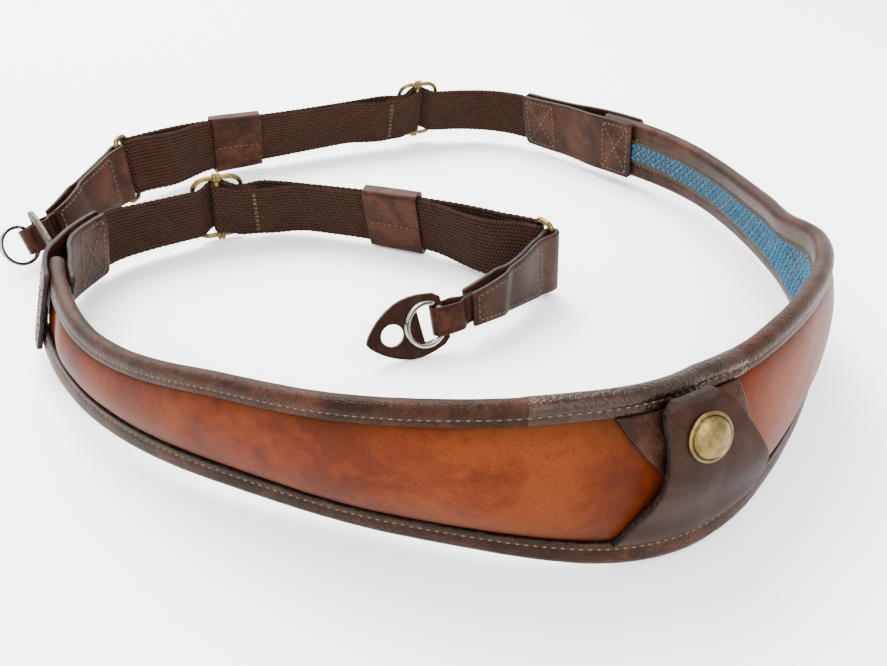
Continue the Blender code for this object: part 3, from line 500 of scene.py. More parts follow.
class NodePen:
    """Adds nodes to a tree with their values and links in one call."""

    def __init__(self, tree: bpy.types.NodeTree) -> None:
        """Keeps the tree."""
        self.tree = tree

    def add(self, kind: str, inputs: dict | None = None, **settings: object) -> bpy.types.Node:
        """New node.

        Args:
            kind: the node's type.
            inputs: input names or indexes, with a value or a socket to link.
            settings: the node's own settings.

        Returns:
            The node.
        """
        node = self.tree.nodes.new(kind)
        for name, value in settings.items():
            setattr(node, name, value)
        for key, value in (inputs or {}).items():
            if isinstance(value, bpy.types.NodeSocket):
                self.tree.links.new(value, node.inputs[key])
            else:
                node.inputs[key].default_value = value
        return node

    def math(self, operation: str, a: object, b: object = 0.0, clamp: bool = False) -> bpy.types.NodeSocket:
        """Result of a Math node."""
        return self.add("ShaderNodeMath", {0: a, 1: b}, operation=operation, use_clamp=clamp).outputs[0]

    def mix(self, factor: object, a: object, b: object) -> bpy.types.NodeSocket:
        """Colour between a and b."""
        node = self.add("ShaderNodeMix", data_type="RGBA")
        for key, value in ((0, factor), (6, a), (7, b)):
            if isinstance(value, bpy.types.NodeSocket):
                self.tree.links.new(value, node.inputs[key])
            else:
                node.inputs[key].default_value = value if key == 0 else (*value, 1.0)
        return node.outputs[2]

    def ramp(self, value: bpy.types.NodeSocket, low: float, high: float) -> bpy.types.NodeSocket:
        """Value stretched from low..high to 0..1, with soft ends."""
        node = self.add("ShaderNodeMapRange", {0: value, 1: low, 2: high}, interpolation_type="SMOOTHSTEP")
        return node.outputs[0]

    def link(self, a: bpy.types.NodeSocket, b: bpy.types.NodeSocket) -> None:
        """Link between two sockets."""
        self.tree.links.new(a, b)

    def group(self, tree: bpy.types.NodeTree, spot: bpy.types.NodeSocket, **values: float) -> bpy.types.Node:
        """Group node read at a place, with plain values for its other inputs."""
        return self.add("ShaderNodeGroup", {"Vector": spot, **values}, node_tree=tree)

    def bump(self, shader: bpy.types.Node, strength: float, distance: float, height: bpy.types.NodeSocket) -> None:
        """Bump node that feeds a shader's normal."""
        node = self.add("ShaderNodeBump", {"Strength": strength, "Distance": distance, "Height": height})
        self.link(node.outputs[0], shader.inputs["Normal"])

    @staticmethod
    def fix(shader: bpy.types.Node, values: dict[str, object]) -> None:
        """Sets plain values on a shader's inputs."""
        for name, value in values.items():
            shader.inputs[name].default_value = value


def shader_group(name: str, inputs: Sequence[tuple[str, str, float]], outputs: Sequence[str],
                 draw: Callable[[NodePen, bpy.types.Node, bpy.types.Node], None]) -> bpy.types.NodeTree:
    """A shader node group, made once.

    Args:
        name: the group's name.
        inputs: names, kinds (Float or Vector) and defaults of its inputs.
        outputs: names of its value outputs.
        draw: adds the nodes between the group's input and output nodes.

    Returns:
        The group.
    """
    found = bpy.data.node_groups.get(name)
    if found:
        return found
    tree = bpy.data.node_groups.new(name, "ShaderNodeTree")
    for label, kind, default in inputs:
        socket = tree.interface.new_socket(label, in_out="INPUT", socket_type="NodeSocket" + kind)
        if kind == "Float":
            socket.default_value = default
    for label in outputs:
        tree.interface.new_socket(label, in_out="OUTPUT", socket_type="NodeSocketFloat")
    draw(NodePen(tree), tree.nodes.new("NodeGroupInput"), tree.nodes.new("NodeGroupOutput"))
    return tree


def leather_grain() -> bpy.types.NodeTree:
    """Group: pebbled leather grain with fine creases and pores."""

    def draw(pen: NodePen, given: bpy.types.Node, out: bpy.types.Node) -> None:
        """Adds the grain's nodes."""
        warp = pen.add("ShaderNodeTexNoise", {"Vector": given.outputs["Vector"], "Scale": 900.0, "Detail": 2.0})
        bent = pen.add("ShaderNodeVectorMath", {0: warp.outputs["Color"], "Scale": 0.0006}, operation="SCALE")
        spot = pen.add("ShaderNodeVectorMath", {0: given.outputs["Vector"], 1: bent.outputs[0]}, operation="ADD")
        cells = pen.add("ShaderNodeTexVoronoi", {"Vector": spot.outputs[0], "Scale": given.outputs["Scale"]},
                        feature="DISTANCE_TO_EDGE")
        pebble = pen.ramp(cells.outputs["Distance"], 0.0, 0.35)
        fine = pen.add("ShaderNodeTexNoise", {"Vector": given.outputs["Vector"], "Scale": 2600.0, "Detail": 3.0})
        total = pen.math("ADD", pebble, pen.math("MULTIPLY", fine.outputs[0], given.outputs["Fine"]))
        pen.link(total, out.inputs["Height"])
        pen.link(pen.ramp(cells.outputs["Distance"], 0.0, 0.12), out.inputs["Crease"])

    inputs = (("Vector", "Vector", 0.0), ("Scale", "Float", 1100.0), ("Fine", "Float", 0.5))
    return shader_group("leather_grain", inputs, ("Height", "Crease"), draw)


def cloudy_tone() -> bpy.types.NodeTree:
    """Group: large and small clouds of tone, as in hand-rubbed leather or old metal."""

    def draw(pen: NodePen, given: bpy.types.Node, out: bpy.types.Node) -> None:
        """Adds the clouds' nodes."""
        big = pen.add("ShaderNodeTexNoise", {"Vector": given.outputs["Vector"], "Scale": given.outputs["Scale"],
                                             "Detail": 4.0, "Roughness": 0.6, "Distortion": 0.6})
        ratio = pen.math("MULTIPLY", given.outputs["Scale"], 7.0)
        small = pen.add("ShaderNodeTexNoise", {"Vector": given.outputs["Vector"], "Scale": ratio, "Detail": 3.0})
        mostly = pen.math("MULTIPLY", big.outputs[0], 0.72)
        tone = pen.math("ADD", mostly, pen.math("MULTIPLY", small.outputs[0], 0.28))
        pen.link(pen.ramp(tone, 0.36, 0.64), out.inputs["Tone"])
        pen.link(small.outputs[0], out.inputs["Speck"])

    return shader_group("cloudy_tone", (("Vector", "Vector", 0.0), ("Scale", "Float", 30.0)), ("Tone", "Speck"), draw)


def ribbed_cloth() -> bpy.types.NodeTree:
    """Group: ribs along a woven band, each a row of slanted picks, from a UV map in metres."""

    def draw(pen: NodePen, given: bpy.types.Node, out: bpy.types.Node) -> None:
        """Adds the weave's nodes."""
        uv = pen.add("ShaderNodeSeparateXYZ", {0: given.outputs["Vector"]})
        across = pen.math("DIVIDE", uv.outputs[1], given.outputs["Rib"])
        row = pen.math("FLOOR", across)
        within = pen.math("FRACT", across)
        arch = pen.math("SINE", pen.math("MULTIPLY", within, math.pi))
        slant = pen.math("ADD", pen.math("MULTIPLY", row, 0.5), pen.math("MULTIPLY", within, 0.55))
        along = pen.math("ADD", pen.math("DIVIDE", uv.outputs[0], given.outputs["Pick"]), slant)
        bump = pen.math("SINE", pen.math("MULTIPLY", pen.math("FRACT", along), math.pi))
        fibre = pen.add("ShaderNodeTexNoise", {"Vector": given.outputs["Vector"], "Scale": 3000.0, "Detail": 2.0})
        height = pen.math("MULTIPLY", pen.math("POWER", arch, 0.6), pen.math("POWER", bump, 0.6))
        total = pen.math("ADD", height, pen.math("MULTIPLY", fibre.outputs[0], 0.25))
        pen.link(total, out.inputs["Height"])
        # Tone is lowest in the weave's valleys; the finishes use it as painted shade.
        pen.link(pen.ramp(height, 0.1, 0.95), out.inputs["Tone"])

    inputs = (("Vector", "Vector", 0.0), ("Rib", "Float", 0.00156), ("Pick", "Float", 0.0013))
    return shader_group("ribbed_cloth", inputs, ("Height", "Tone"), draw)


def twisted_thread() -> bpy.types.NodeTree:
    """Group: the slanting plies of sewing thread."""

    def draw(pen: NodePen, given: bpy.types.Node, out: bpy.types.Node) -> None:
        """Adds the plies' nodes."""
        wave = pen.add("ShaderNodeTexWave", {"Vector": given.outputs["Vector"], "Scale": given.outputs["Scale"],
                                             "Distortion": 1.5, "Detail": 1.0}, bands_direction="DIAGONAL")
        pen.link(wave.outputs["Fac"], out.inputs["Height"])

    return shader_group("twisted_thread", (("Vector", "Vector", 0.0), ("Scale", "Float", 900.0)), ("Height",), draw)


WARM_SHEEN = (1.0, 0.74, 0.58, 1.0)


def shaded(colour: Colour, share: float) -> Colour:
    """The colour made darker or lighter by a share."""
    return tuple(part * share for part in colour)


def object_coordinates(pen: NodePen) -> bpy.types.NodeSocket:
    """Coordinates of the piece's own object, in metres."""
    return pen.add("ShaderNodeTexCoord").outputs["Object"]


def surface_map(pen: NodePen) -> bpy.types.NodeSocket:
    """A piece's own UV map, in metres along and across it."""
    return pen.add("ShaderNodeUVMap", uv_map="UVMap").outputs[0]


@dataclass(frozen=True)
class Leather(Finish):
    """Grained leather with clouds of tone, grain creases darkened as painted shade, an even sheen, and painted shade
    from a per-point mask where one is given.
    """

    name: str
    dark: Colour
    middle: Colour
    light: Colour
    roughness: float
    grain: float
    depth: float
    clouds: float
    shine: float
    coat: float = 0.0
    # How far the per-point painted-shade mask darkens the leather; 0 for none.
    painted_shade: float = 0.0
    fine: float = 0.5

    def paint(self, pen: NodePen, shader: bpy.types.Node) -> None:
        """Builds the leather's nodes."""
        spot = object_coordinates(pen)
        clouds = pen.group(cloudy_tone(), spot, Scale=self.clouds)
        grain = pen.group(leather_grain(), spot, Scale=self.grain, Fine=self.fine)
        tone = clouds.outputs["Tone"]
        colour = pen.mix(pen.ramp(tone, 0.0, 0.55), self.dark, self.middle)
        colour = pen.mix(pen.ramp(tone, 0.5, 1.0), colour, self.light)
        # Painted shade: the grain's creases are darkened towards the dark colour.
        crease = pen.math("MULTIPLY", pen.math("SUBTRACT", 1.0, grain.outputs["Crease"]), 0.45)
        colour = pen.mix(crease, colour, shaded(self.dark, 0.35))
        # Painted shade: darkens the leather where the mask attribute is high (the panel's edges, beside the flap, its
        # hidden back).
        if self.painted_shade:
            shade_mask = pen.add("ShaderNodeAttribute", attribute_name="painted_shade").outputs["Fac"]
            colour = pen.mix(pen.math("MULTIPLY", shade_mask, self.painted_shade), colour, shaded(self.dark, 0.30))
        pen.link(colour, shader.inputs["Base Color"])
        rough = pen.math("ADD", self.roughness - 0.08, pen.math("MULTIPLY", clouds.outputs["Speck"], 0.16))
        pen.link(rough, shader.inputs["Roughness"])
        pen.bump(shader, 0.55, self.depth, grain.outputs["Height"])
        pen.fix(shader, {"Coat Weight": self.coat, "Coat Roughness": 0.28, "Specular IOR Level": self.shine,
                         "Specular Tint": WARM_SHEEN})


@dataclass(frozen=True)
class RawEdge(Finish):
    """Painted or bare cut edge of leather, with fine layers along it."""

    name: str
    dark: Colour
    light: Colour

    def paint(self, pen: NodePen, shader: bpy.types.Node) -> None:
        """Builds the edge's nodes."""
        spot = object_coordinates(pen)
        noise = pen.add("ShaderNodeTexNoise", {"Vector": spot, "Scale": 700.0, "Detail": 3.0})
        pen.link(pen.mix(pen.ramp(noise.outputs[0], 0.4, 0.62), self.dark, self.light), shader.inputs["Base Color"])
        pen.bump(shader, 0.5, 0.0001, noise.outputs[0])
        pen.fix(shader, {"Roughness": 0.5, "Specular IOR Level": 0.12})


@dataclass(frozen=True)
class Webbing(Finish):
    """Coarse ribbed cotton webbing, its weave valleys darkened as painted shade."""

    name: str
    deep: Colour
    raised: Colour

    def paint(self, pen: NodePen, shader: bpy.types.Node) -> None:
        """Builds the webbing's nodes."""
        weave = pen.group(ribbed_cloth(), surface_map(pen))
        clouds = pen.group(cloudy_tone(), object_coordinates(pen), Scale=160.0)
        # Painted shade: the deep colour fills the weave's valleys, the raised colour its ribs.
        colour = pen.mix(weave.outputs["Tone"], self.deep, self.raised)
        faded = pen.mix(pen.math("MULTIPLY", clouds.outputs["Tone"], 0.25), colour, shaded(self.raised, 1.3))
        pen.link(faded, shader.inputs["Base Color"])
        pen.bump(shader, 1.0, 0.0005, weave.outputs["Height"])
        pen.fix(shader, {"Roughness": 0.82, "Sheen Weight": 0.02, "Sheen Roughness": 0.4, "Specular IOR Level": 0.06})


@dataclass(frozen=True)
class Thread(Finish):
    """Sewing or embroidery thread with slanting plies, darker in the grooves between plies as painted shade."""

    name: str
    dark: Colour
    light: Colour
    roughness: float = 0.6
    plies: float = 900.0

    def paint(self, pen: NodePen, shader: bpy.types.Node) -> None:
        """Builds the thread's nodes."""
        spot = object_coordinates(pen)
        ply = pen.group(twisted_thread(), spot, Scale=self.plies)
        noise = pen.add("ShaderNodeTexNoise", {"Vector": spot, "Scale": 220.0, "Detail": 2.0})
        # Colour follows random noise (the thread's own tone) and the ply grooves (painted shade).
        half = pen.math("MULTIPLY", ply.outputs["Height"], 0.5)
        tone = pen.math("ADD", half, pen.math("MULTIPLY", noise.outputs[0], 0.6))
        pen.link(pen.mix(pen.ramp(tone, 0.2, 0.85), self.dark, self.light), shader.inputs["Base Color"])
        pen.bump(shader, 0.5, 0.00008, ply.outputs["Height"])
        pen.fix(shader, {"Roughness": self.roughness, "Sheen Weight": 0.04, "Specular IOR Level": 0.15})


@dataclass(frozen=True)
class Cloth(Finish):
    """Plain fine cloth behind the embroidery, its weave valleys darkened as painted shade."""

    name: str
    dark: Colour
    light: Colour

    def paint(self, pen: NodePen, shader: bpy.types.Node) -> None:
        """Builds the cloth's nodes."""
        weave = pen.group(ribbed_cloth(), surface_map(pen), Rib=0.0006, Pick=0.0006)
        # Painted shade: the dark colour fills the weave's valleys, the light colour its raised threads.
        pen.link(pen.mix(weave.outputs["Tone"], self.dark, self.light), shader.inputs["Base Color"])
        pen.bump(shader, 0.7, 0.00012, weave.outputs["Height"])
        pen.fix(shader, {"Roughness": 0.85})


@dataclass(frozen=True)
class Metal(Finish):
    """Plated or antiqued metal, with clouds of wear and fine scratches."""

    name: str
    dark: Colour
    light: Colour
    roughness: float
    wear: float

    def paint(self, pen: NodePen, shader: bpy.types.Node) -> None:
        """Builds the metal's nodes."""
        spot = object_coordinates(pen)
        clouds = pen.group(cloudy_tone(), spot, Scale=260.0)
        pen.link(pen.mix(pen.math("MULTIPLY", clouds.outputs["Tone"], self.wear), self.light, self.dark),
                 shader.inputs["Base Color"])
        rough = pen.math("ADD", self.roughness, pen.math("MULTIPLY", clouds.outputs["Speck"], self.wear * 0.3))
        pen.link(rough, shader.inputs["Roughness"])
        fine = pen.add("ShaderNodeTexNoise", {"Vector": spot, "Scale": 1800.0, "Detail": 3.0})
        pen.bump(shader, 0.12, 0.00005, fine.outputs[0])
        pen.fix(shader, {"Metallic": 1.0})


@dataclass(frozen=True)
class Plain(Finish):
    """Studio floor and the painted-shade dots in needle holes: one colour with a trace of unevenness."""

    name: str
    colour: Colour
    roughness: float

    def paint(self, pen: NodePen, shader: bpy.types.Node) -> None:
        """Builds the plain finish's nodes."""
        noise = pen.add("ShaderNodeTexNoise", {"Vector": object_coordinates(pen), "Scale": 40.0})
        pen.link(pen.mix(noise.outputs[0], self.colour, shaded(self.colour, 0.985)), shader.inputs["Base Color"])
        pen.fix(shader, {"Roughness": self.roughness})


# The tan panel's leather takes painted shade from its per-point mask.
TAN = Leather(
    "tan_leather", (0.050, 0.0074, 0.0010), (0.076, 0.0128, 0.0017), (0.097, 0.0196, 0.0030), roughness=0.44,
    grain=1500.0, depth=0.00005, clouds=38.0, shine=0.06, painted_shade=0.75,
)
TRIM = Leather(
    "brown_grained_leather", (0.0078, 0.0027, 0.0015), (0.0190, 0.0066, 0.0037), (0.034, 0.0124, 0.0074),
    roughness=0.42, grain=1250.0, depth=0.00014, clouds=60.0, shine=0.09,
)
GLOSSY = Leather(
    "dark_pebbled_leather", (0.0052, 0.0021, 0.0013), (0.0130, 0.0050, 0.0031), (0.0240, 0.0095, 0.0062),
    roughness=0.30, grain=760.0, depth=0.00018, clouds=60.0, coat=0.03, shine=0.22,
)
SMOOTH = Leather(
    "brown_smooth_leather", (0.0120, 0.0052, 0.0035), (0.0172, 0.0078, 0.0053), (0.0235, 0.0112, 0.0077),
    roughness=0.52, grain=2100.0, depth=0.00004, clouds=90.0, shine=0.05,
)
STRAP = Leather(
    "brown_strap_leather", (0.0110, 0.0037, 0.0021), (0.0235, 0.0080, 0.0045), (0.039, 0.0140, 0.0078),
    roughness=0.40, grain=1700.0, depth=0.00007, clouds=70.0, shine=0.08,
)
EDGE = RawEdge("leather_cut_edge", (0.003, 0.0018, 0.0013), (0.013, 0.0080, 0.0060))
PALE_EDGE = RawEdge("pale_cut_edge", (0.05, 0.036, 0.027), (0.125, 0.102, 0.080))
# The webbing's deep colour and the lining cloth's dark colour are painted shade in the weave's valleys.
WOVEN = Webbing("brown_webbing", (0.0018, 0.0008, 0.0005), (0.032, 0.0134, 0.0072))
KHAKI = Thread("khaki_thread", (0.045, 0.030, 0.0105), (0.12, 0.086, 0.034))
TURQUOISE = Thread("turquoise_thread", (0.001, 0.055, 0.12), (0.001, 0.150, 0.27), 0.60, 1400.0)
BACKING = Cloth("dark_lining_cloth", (0.004, 0.0024, 0.0019), (0.014, 0.0075, 0.0057))
BRASS = Metal("worn_brass", (0.042, 0.026, 0.0075), (0.150, 0.105, 0.036), 0.24, 0.75)
NICKEL = Metal("pale_nickel", (0.16, 0.145, 0.11), (0.32, 0.30, 0.245), 0.14, 0.40)
# Near-black dots stand in for the shade inside needle holes: painted shade.
HOLE = Plain("needle_hole", (0.006, 0.004, 0.003), 0.9)
FLOOR = Plain("studio_floor", (0.97, 0.97, 0.97), 0.8)


def new_mesh(name: str, points: np.ndarray, faces: Sequence[Sequence[int]], uv: np.ndarray | None = None,
             materials: Sequence[Finish] = ()) -> bpy.types.Object:
    """Object from points and faces.

    Args:
        name: the object's name.
        points: its points, one row each.
        faces: indexes of each face's points.
        uv: a UV place for each point, in metres.
        materials: its finishes, in slot order.

    Returns:
        The object, in the scene.
    """
    mesh = bpy.data.meshes.new(name)
    mesh.from_pydata(np.asarray(points, float).reshape(-1, 3).tolist(), [], [tuple(f) for f in faces])
    if uv is not None:
        layer = mesh.uv_layers.new(name="UVMap")
        index = np.zeros(len(mesh.loops), np.int32)
        mesh.loops.foreach_get("vertex_index", index)
        layer.data.foreach_set("uv", np.asarray(uv, np.float32).reshape(-1, 2)[index].ravel())
    for finish in materials:
        mesh.materials.append(finish.material())
    mesh.update()
    obj = bpy.data.objects.new(name, mesh)
    bpy.context.scene.collection.objects.link(obj)
    return obj


def grid_faces(rows: int, cols: int, wrap_cols: bool = False, wrap_rows: bool = False) -> np.ndarray:
    """Quads of a grid of points given row by row."""
    i = np.arange(rows if wrap_rows else rows - 1)
    j = np.arange(cols if wrap_cols else cols - 1)
    i, j = (a.ravel() for a in np.meshgrid(i, j, indexing="ij"))
    k, m = (j + 1) % cols, (i + 1) % rows
    return np.stack([i * cols + j, i * cols + k, m * cols + k, m * cols + j], -1)


def capped_grid(rows: int, cols: int) -> list[tuple[int, ...]]:
    """Faces of a closed tube given section by section, with a cap at each end."""
    faces = [tuple(face) for face in grid_faces(rows, cols, wrap_cols=True)]
    return faces + [tuple(range(cols)), tuple((rows - 1) * cols + j for j in reversed(range(cols)))]


def run_along(points: np.ndarray) -> np.ndarray:
    """Distance along a line of points, from its first one."""
    return np.concatenate([[0.0], np.cumsum(np.linalg.norm(np.diff(points, axis=0), axis=1))])


def note_points(obj: bpy.types.Object, name: str, values: np.ndarray, vectors: bool = False) -> None:
    """Stores a number, or a vector, at each point of a mesh.

    Args:
        obj: the piece.
        name: the attribute's name.
        values: the numbers, or three for each point.
        vectors: whether they are vectors.
    """
    kind, key = ("FLOAT_VECTOR", "vector") if vectors else ("FLOAT", "value")
    layer = obj.data.attributes.new(name, kind, "POINT")
    layer.data.foreach_set(key, values.astype(np.float32).ravel())


def settle(obj: bpy.types.Object) -> bpy.types.Object:
    """Turns an object and its modifiers into one plain, smoothly shaded mesh at the origin."""
    graph = bpy.context.evaluated_depsgraph_get()
    mesh = bpy.data.meshes.new_from_object(obj.evaluated_get(graph))
    mesh.transform(obj.matrix_world)
    name = obj.name
    bpy.data.objects.remove(obj, do_unlink=True)
    made = bpy.data.objects.new(name, mesh)
    bpy.context.scene.collection.objects.link(made)
    mesh.shade_smooth()
    return made


def face_out(obj: bpy.types.Object) -> bpy.types.Object:
    """Makes a closed mesh's faces point outward."""
    shape = bmesh.new()
    shape.from_mesh(obj.data)
    bmesh.ops.remove_doubles(shape, verts=shape.verts, dist=1e-6)
    bmesh.ops.recalc_face_normals(shape, faces=shape.faces)
    shape.to_mesh(obj.data)
    shape.free()
    obj.data.shade_smooth()
    return obj


def hide_sheet(name: str, points: np.ndarray, uv: np.ndarray, thickness: float, face: Finish,
               edge: Finish = EDGE, round_edge: float = 0.00035, closed: bool = False) -> bpy.types.Object:
    """Leather or cloth sheet with rounded edges.

    Args:
        name: the piece's name.
        points: its middle surface, rows by columns.
        uv: UV places of those points, in metres.
        thickness: the sheet's thickness.
        face: finish of its two faces.
        edge: finish of its cut edge.
        round_edge: rounding of the edge, or 0 for none.
        closed: whether the columns close into a sleeve.

    Returns:
        The piece.
    """
    rows, cols = points.shape[:2]
    obj = new_mesh(name, points, grid_faces(rows, cols, wrap_cols=closed), uv, (face, edge))
    wall = obj.modifiers.new("thickness", "SOLIDIFY")
    wall.thickness = thickness
    wall.offset = 0.0
    wall.use_even_offset = True
    wall.material_offset_rim = 1
    if round_edge:
        bevel = obj.modifiers.new("edge", "BEVEL")
        bevel.width = round_edge
        bevel.segments = 2
        bevel.limit_method = "ANGLE"
        bevel.angle_limit = math.radians(50)
    return settle(obj)


def sweep(name: str, centres: np.ndarray, section: np.ndarray, normal: Sequence[float], finish: Finish,
          closed: bool = True) -> bpy.types.Object:
    """Wire of any section along a path.

    Args:
        name: the piece's name.
        centres: points of the path.
        section: the wire's section, as (in the path's plane, along the plane's normal).
        normal: the normal of the path's plane.
        finish: the wire's finish.
        closed: whether the path is a ring.

    Returns:
        The piece.
    """
    centres = np.asarray(centres, float)
    normal = np.asarray(normal, float)
    if closed:
        along = np.roll(centres, -1, 0) - np.roll(centres, 1, 0)
    else:
        along = np.gradient(centres, axis=0)
    side = unit(np.cross(unit(along), normal))
    points = centres[:, None] + side[:, None] * section[None, :, :1] + normal * section[None, :, 1:]
    rows, cols = points.shape[:2]
    faces = grid_faces(rows, cols, wrap_cols=True, wrap_rows=True) if closed else capped_grid(rows, cols)
    return face_out(new_mesh(name, points, faces, None, (finish,)))


def circle(radius: float, count: int) -> np.ndarray:
    """Points of a circle."""
    a = np.linspace(0, 2 * math.pi, count, endpoint=False)
    return np.stack([radius * np.cos(a), radius * np.sin(a)], -1)


def rounded_box(half_x: float, half_z: float, corner: float, count: int = 8) -> np.ndarray:
    """Points of a rectangle with round corners, as (x, z)."""
    points = []
    for turn, (sx, sz) in enumerate(((1, 1), (-1, 1), (-1, -1), (1, -1))):
        x, z = sx * (half_x - corner), sz * (half_z - corner)
        for a in np.linspace(math.pi / 2 * turn, math.pi / 2 * (turn + 1), count + 1):
            points.append((x + corner * math.cos(a), z + corner * math.sin(a)))
    return np.array(points)


def thicken_path(points: np.ndarray, longest: float) -> np.ndarray:
    """Adds points to a closed path so that none lie further apart than longest."""
    out = []
    for a, b in zip(points, np.roll(points, -1, 0)):
        count = max(1, math.ceil(np.linalg.norm(b - a) / longest))
        out += [a + (b - a) * i / count for i in range(count)]
    return np.array(out)


def turned(name: str, profile: Sequence[tuple[float, float]], finish: Finish, count: int = 48) -> bpy.types.Object:
    """Turned body about its own Z axis.

    Args:
        name: the piece's name.
        profile: places as (radius, height); both ends lie on the axis, or the line closes.
        finish: its finish.
        count: sides round the axis.

    Returns:
        The piece.
    """
    points = [(r, 0.0, z) for r, z in profile]
    obj = new_mesh(name, np.array(points), [], None, (finish,))
    obj.data.edges.add(len(points) - 1)
    for i, edge in enumerate(obj.data.edges):
        edge.vertices = (i, i + 1)
    screw = obj.modifiers.new("turn", "SCREW")
    screw.steps = count
    screw.render_steps = count
    screw.use_merge_vertices = True
    screw.merge_threshold = 0.00001
    return face_out(settle(obj))


def moved(obj: bpy.types.Object, place: Matrix) -> bpy.types.Object:
    """Moves a piece's mesh by a frame, leaving its object at the origin."""
    obj.data.transform(place)
    obj.data.update()
    return obj


def joined(name: str, parts: Sequence[bpy.types.Object]) -> bpy.types.Object:
    """One piece from several closed bodies."""
    shape = bmesh.new()
    materials = []
    for part in parts:
        shape.from_mesh(part.data)
        materials = list(part.data.materials)
    mesh = bpy.data.meshes.new(name)
    shape.to_mesh(mesh)
    shape.free()
    for made in materials:
        mesh.materials.append(made)
    for part in parts:
        bpy.data.objects.remove(part, do_unlink=True)
    obj = bpy.data.objects.new(name, mesh)
    bpy.context.scene.collection.objects.link(obj)
    mesh.shade_smooth()
    return obj


def put(obj: bpy.types.Object, slot: str, *nodes: str) -> bpy.types.Object:
    """Hands a finished piece to the frame.

    Args:
        obj: the piece.
        slot: the material slot that its finish stands for; not used.
        nodes: the solids that it replaces.

    Returns:
        The piece.
    """
    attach(obj, "root")
    if nodes:
        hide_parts(*nodes)
    log.info("%s: %d faces", obj.name, len(obj.data.polygons))
    return obj


def geometry_tree(name: str, inputs: Sequence[tuple[str, str, float]],
                  draw: Callable[[NodePen, bpy.types.Node], bpy.types.NodeSocket]) -> bpy.types.NodeTree:
    """A geometry tree that ends in Realize Instances and Set Material, made once.

    Args:
        name: the tree's name.
        inputs: names, kinds (Float or Int) and defaults of its number inputs.
        draw: adds the tree's own nodes after its input node, and gives the shape.

    Returns:
        The tree.
    """
    found = bpy.data.node_groups.get(name)
    if found:
        return found
    tree = bpy.data.node_groups.new(name, "GeometryNodeTree")
    tree.interface.new_socket("Geometry", in_out="INPUT", socket_type="NodeSocketGeometry")
    for label, kind, default in inputs:
        socket = tree.interface.new_socket(label, in_out="INPUT", socket_type="NodeSocket" + kind)
        socket.default_value = default
    tree.interface.new_socket("Material", in_out="INPUT", socket_type="NodeSocketMaterial")
    tree.interface.new_socket("Geometry", in_out="OUTPUT", socket_type="NodeSocketGeometry")
    pen = NodePen(tree)
    given, out = tree.nodes.new("NodeGroupInput"), tree.nodes.new("NodeGroupOutput")
    real = pen.add("GeometryNodeRealizeInstances", {0: draw(pen, given)})
    dressed = pen.add("GeometryNodeSetMaterial", {"Geometry": real.outputs[0], "Material": given.outputs["Material"]})
    pen.link(dressed.outputs[0], out.inputs[0])
    return tree


def thread_tree() -> bpy.types.NodeTree:
    """Tree: a short rounded thread at each point, laid by the point's own directions and reach."""

    def draw(pen: NodePen, given: bpy.types.Node) -> bpy.types.NodeSocket:
        """Adds the threads' nodes."""
        sides, rings, turn = (given.outputs[label] for label in ("Sides", "Rings", "Turn"))
        ball = pen.add("GeometryNodeMeshUVSphere", {"Segments": sides, "Rings": rings, "Radius": 0.5})
        dots = pen.add("GeometryNodeMeshToPoints", {"Mesh": given.outputs["Geometry"]})
        along, out, reach = (
            pen.add("GeometryNodeInputNamedAttribute", {"Name": name}, data_type=kind).outputs[0]
            for name, kind in (("along", "FLOAT_VECTOR"), ("out", "FLOAT_VECTOR"), ("reach", "FLOAT"))
        )
        aim = pen.add("FunctionNodeAxesToRotation", {"Primary Axis": along, "Secondary Axis": out},
                      primary_axis="X", secondary_axis="Z")
        size = pen.add("ShaderNodeCombineXYZ", {0: reach, 1: given.outputs["Width"], 2: given.outputs["Height"]})
        laid = pen.add("GeometryNodeInstanceOnPoints", {"Points": dots.outputs[0], "Instance": ball.outputs[0],
                                                        "Rotation": aim.outputs[0], "Scale": size.outputs[0]})
        chance = pen.add("FunctionNodeRandomValue", {2: pen.math("MULTIPLY", turn, -1.0), 3: turn,
                                                     "Seed": given.outputs["Seed"]}, data_type="FLOAT")
        angle = pen.add("ShaderNodeCombineXYZ", {2: chance.outputs[1]})
        swung = pen.add("GeometryNodeRotateInstances", {"Instances": laid.outputs[0], "Rotation": angle.outputs[0]})
        return swung.outputs[0]

    inputs = (("Width", "Float", 0.0005), ("Height", "Float", 0.0004), ("Turn", "Float", 0.1),
              ("Sides", "Int", 8), ("Rings", "Int", 5), ("Seed", "Int", 1))
    return geometry_tree("laid_threads", inputs, draw)


